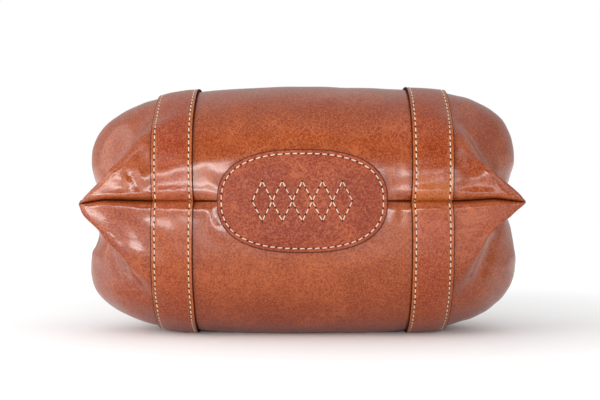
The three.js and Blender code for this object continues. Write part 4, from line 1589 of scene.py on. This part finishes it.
DEEP_SHARES = (0.72, 0.55, 0.4)  # the dark of the grain, as shares of the body's colour
PALE_LIFT = (0.085, 0.04, 0.016)  # what the pale of the grain adds to it
GOLD = linear(160, 80, 18)
STRAP_GOLD = linear(172, 98, 34)
# The tone of the ruddy marks; the rim bands among them are painted sheen.
ROSE = linear(124, 44, 28)


def leather_tones(body, gold=GOLD):
    """The tones of a leather, from the colour of its body."""
    body = np.array(body[:3])
    deep, pale = body * DEEP_SHARES, body + PALE_LIFT
    return {"Deep": (*deep, 1.0), "Body": (*body, 1.0), "Pale": (*pale, 1.0), "Gold": gold,
            "Rose": ROSE}


def build_materials(colours, sizes):
    """Every material, by name."""
    leather_group()
    holes_group()
    lozenge_group()
    strap_lines_at = (STITCH_INSET * MM, BAND_WIDTH * MM, sizes.stitch_pitch)
    border_at = (PATCH_INSET * MM, 0.0, patch_border_pitch() * MM)
    lozenges = (sizes.motif_length, sizes.motif_width / 2, LEG_STITCHES)
    return {
        "panel": leather_material("panel_leather", leather_tones(colours.panel),
                                  gloss=0.38, lines=1.0, coat=0.7),
        # The straps' and the patch's edges are darkened: a dark cut edge with a painted shadow line
        # along it.
        "strap": leather_material("strap_leather", leather_tones(colours.strap, STRAP_GOLD),
                                  gloss=0.38, lines=0.7, coat=0.55, stitching=strap_lines_at,
                                  edge=0.0007),
        "patch": leather_material("patch_leather", leather_tones(colours.patch),
                                  gloss=0.44, lines=1.2, coat=0.0, stitching=border_at,
                                  motif=lozenges, edge=0.0009, edge_and_shadow_depth=0.65),
        "thread": thread_material(tuple(colours.thread)),
        "tape": tape_material(tuple(colours.tape)),
        "brass": brass_material(tuple(colours.brass)),
        "floor": floor_material(tuple(colours.floor)),
    }


# ---- stage -------------------------------------------------------------------------------------

CAMERA_REACH = 0.70  # from the base to the camera
CAMERA_ASIDE = -0.0018  # from the middle of the bag's box
CAMERA_RISE = 0.0006  # over the base seam
LENS = 70.0
WORLD_ABOVE = 0.9  # how bright the surroundings are above the bag, and behind it
WORLD_BEHIND = 0.6
HIGH_RISE = (0.45, 0.75)  # where the one sets in, on the way up from level, and the other, on
BEHIND_RISE = (-0.1, 0.2)  # the way round from the front
FLOOR_RADIUS = 4.0
SOFTBOX_AIM = (0.0, -0.03, 0.08)
SOFTBOXES = (  # name, place, size, power in watts
    ("softbox_left", (-0.85, -0.75, 0.35), (0.7, 0.8), 7.0),
    ("softbox_right", (0.85, -0.75, 0.35), (0.6, 0.8), 4.3),
    ("softbox_side", (-1.1, -0.1, 0.4), (1.0, 0.9), 4.8),
    ("softbox_camera", (-0.17, -1.0, 0.17), (0.7, 0.08), 5.5),
    ("softbox_low_right", (0.33, -0.95, 0.17), (0.2, 0.08), 0.6),
)


def build_floor(material):
    bpy.ops.object.select_all(action="DESELECT")
    bpy.ops.mesh.primitive_circle_add(vertices=96, radius=FLOOR_RADIUS, fill_type="NGON",
                                      location=(0, 0, 0))
    floor = bpy.context.object
    floor.name = "studio_floor"
    floor.data.materials.append(material)
    floor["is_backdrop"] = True


def add_softbox(name, place, size, power):
    light = bpy.data.lights.new(name, "AREA")
    light.shape = "RECTANGLE"
    light.size, light.size_y = size
    light.energy = power
    box = bpy.data.objects.new(name, light)
    box.location = place
    box.rotation_euler = (Vector(SOFTBOX_AIM) - Vector(place)).to_track_quat("-Z", "Y").to_euler()
    bpy.context.scene.collection.objects.link(box)


def build_world():
    """White surroundings above and behind the bag, and the dark of a room in front of it. The
    camera itself sees plain white."""
    world = bpy.data.worlds.new("studio")
    world.use_nodes = True
    bpy.context.scene.world = world
    t = Tree(world.node_tree)
    background = world.node_tree.nodes["Background"]
    direction = t.add("ShaderNodeTexCoord").outputs["Generated"]
    _, y, z = t.split(direction)
    high = t.ramp(z, *HIGH_RISE)
    low = t.times(t.math("SUBTRACT", 1.0, high), t.ramp(y, *BEHIND_RISE))
    light = t.total((high, WORLD_ABOVE), (low, WORLD_BEHIND))
    seen = t.add("ShaderNodeLightPath").outputs["Is Camera Ray"]
    background.inputs["Color"].default_value = (1, 1, 1, 1)
    t.put(background.inputs["Strength"], t.math("MAXIMUM", light, seen))


def build_camera():
    camera = bpy.data.cameras.new("camera")
    camera.lens = LENS
    holder = bpy.data.objects.new("camera", camera)
    bpy.context.scene.collection.objects.link(holder)
    holder.location = (CAMERA_ASIDE, BASE_Y * MM - CAMERA_REACH, SEAM_Z * MM + CAMERA_RISE)
    holder.rotation_euler = (math.pi / 2, 0, 0)
    bpy.context.scene.camera = holder


# ---- properties --------------------------------------------------------------------------------


def length_property(name, description, default):
    return bpy.props.FloatProperty(name=name, description=description, default=default,
                                   min=0.0, unit="LENGTH", precision=5)


def colour_property(name, description, default):
    return bpy.props.FloatVectorProperty(name=name, description=description, size=4,
                                         default=default, min=0.0, max=1.0, subtype="COLOR")


class BagSizes(bpy.types.PropertyGroup):
    thread: length_property("Thread", "Thickness of the sewing thread", 0.0007)
    stitch_pitch: length_property("Stitch pitch", "From one stitch to the next", 0.004)
    stitch_share: bpy.props.FloatProperty(
        name="Stitch share", description="Share of the pitch over which the thread shows",
        default=0.7, min=0.2, max=0.95, subtype="FACTOR")
    motif_length: length_property("Motif length", "Length of the stitched chain of lozenges", 0.06)
    motif_width: length_property("Motif width", "Width of the stitched chain of lozenges", 0.024)


class BagColours(bpy.types.PropertyGroup):
    panel: colour_property("Panels", "Body of the panels' leather", linear(122, 46, 8))
    strap: colour_property("Straps", "Body of the straps' leather", linear(126, 47, 11))
    patch: colour_property("Patch", "Body of the patch's leather", linear(119, 50, 34))
    thread: colour_property("Thread", "Cream sewing thread", linear(208, 190, 166))
    tape: colour_property("Zip tape", "Woven tape of the zip", linear(70, 42, 28))
    brass: colour_property("Brass", "Teeth and slider of the zip", linear(190, 150, 92))
    floor: colour_property("Floor", "Studio floor", linear(252, 252, 252))


# ---- operators ---------------------------------------------------------------------------------


def settings():
    scene = bpy.context.scene
    return scene.bag_sizes, scene.bag_colours


MATERIALS = {}


def material(name):
    if not MATERIALS:
        sizes, colours = settings()
        MATERIALS.update(build_materials(colours, sizes))
    return MATERIALS[name]


class AddPanels(bpy.types.Operator):
    """Add the front and back leather panels"""
    bl_idname = "bag.add_panels"
    bl_label = "Panels"

    def execute(self, context):
        for half in SKINS:
            build_panel(half, material("panel"))
        return {"FINISHED"}


class AddStraps(bpy.types.Operator):
    """Add the four straps with their stitch lines"""
    bl_idname = "bag.add_straps"
    bl_label = "Straps"

    def execute(self, context):
        sizes, _ = settings()
        for half in SKINS:
            for side in ("left", "right"):
                build_strap(half, side, material("strap"))
                build_stitches(f"stitches_strap_{half}_{side}", strap_lines(half, side),
                               sizes.stitch_pitch, sizes, material("thread"))
        return {"FINISHED"}


class AddPatch(bpy.types.Operator):
    """Add the rounded base patch with its border and its stitched chain of lozenges"""
    bl_idname = "bag.add_patch"
    bl_label = "Base patch"

    def execute(self, context):
        sizes, _ = settings()
        build_patch(material("patch"))
        build_stitches("stitches_patch_border", [patch_border_line()], patch_border_pitch() * MM,
                       sizes, material("thread"))
        build_stitches("stitches_patch_lozenges", motif_lines(sizes), motif_pitch(sizes), sizes,
                       material("thread"))
        return {"FINISHED"}


class AddZip(bpy.types.Operator):
    """Add the zip: tape, teeth, slider and the stitch lines along the mouth"""
    bl_idname = "bag.add_zip"
    bl_label = "Zip"

    def execute(self, context):
        sizes, _ = settings()
        build_tape(material("tape"))
        build_teeth(material("brass"))
        build_slider_body(material("brass"))
        build_slider_pull(material("brass"))
        build_stitches("stitches_mouth", zip_lines(), sizes.stitch_pitch, sizes,
                       material("thread"))
        return {"FINISHED"}


class AddStage(bpy.types.Operator):
    """Add the floor, the soft studio lights and the camera"""
    bl_idname = "bag.add_stage"
    bl_label = "Stage"

    def execute(self, context):
        build_floor(material("floor"))
        build_world()
        for softbox in SOFTBOXES:
            add_softbox(*softbox)
        build_camera()
        context.scene.view_settings.view_transform = "Standard"
        return {"FINISHED"}


class BagPanel(bpy.types.Panel):
    """Lists the sizes, the colours and the steps that build the bag"""
    bl_idname = "VIEW3D_PT_bag"
    bl_label = "Toiletry bag"
    bl_space_type = "VIEW_3D"
    bl_region_type = "UI"
    bl_category = "Bag"

    def draw(self, context):
        layout = self.layout
        for group in (context.scene.bag_sizes, context.scene.bag_colours):
            column = layout.column(align=True)
            for key in group.__annotations__:
                column.prop(group, key)
        for step in STEPS:
            layout.operator(step.bl_idname)


STEPS = (AddPanels, AddStraps, AddPatch, AddZip, AddStage)
CLASSES = (BagSizes, BagColours, *STEPS, BagPanel)


def register():
    for item in CLASSES:
        bpy.utils.register_class(item)
    bpy.types.Scene.bag_sizes = bpy.props.PointerProperty(type=BagSizes)
    bpy.types.Scene.bag_colours = bpy.props.PointerProperty(type=BagColours)


def unregister():
    del bpy.types.Scene.bag_colours
    del bpy.types.Scene.bag_sizes
    for item in reversed(CLASSES):
        bpy.utils.unregister_class(item)


def main():
    register()
    bpy.ops.bag.add_panels()
    bpy.ops.bag.add_straps()
    bpy.ops.bag.add_patch()
    bpy.ops.bag.add_zip()
    bpy.ops.bag.add_stage()
    boxes = {name: [list(corner) for corner in box]
             for name, box in (("cad", CAD_BOX), ("visual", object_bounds()))}


if __name__ == "__main__":
    main()
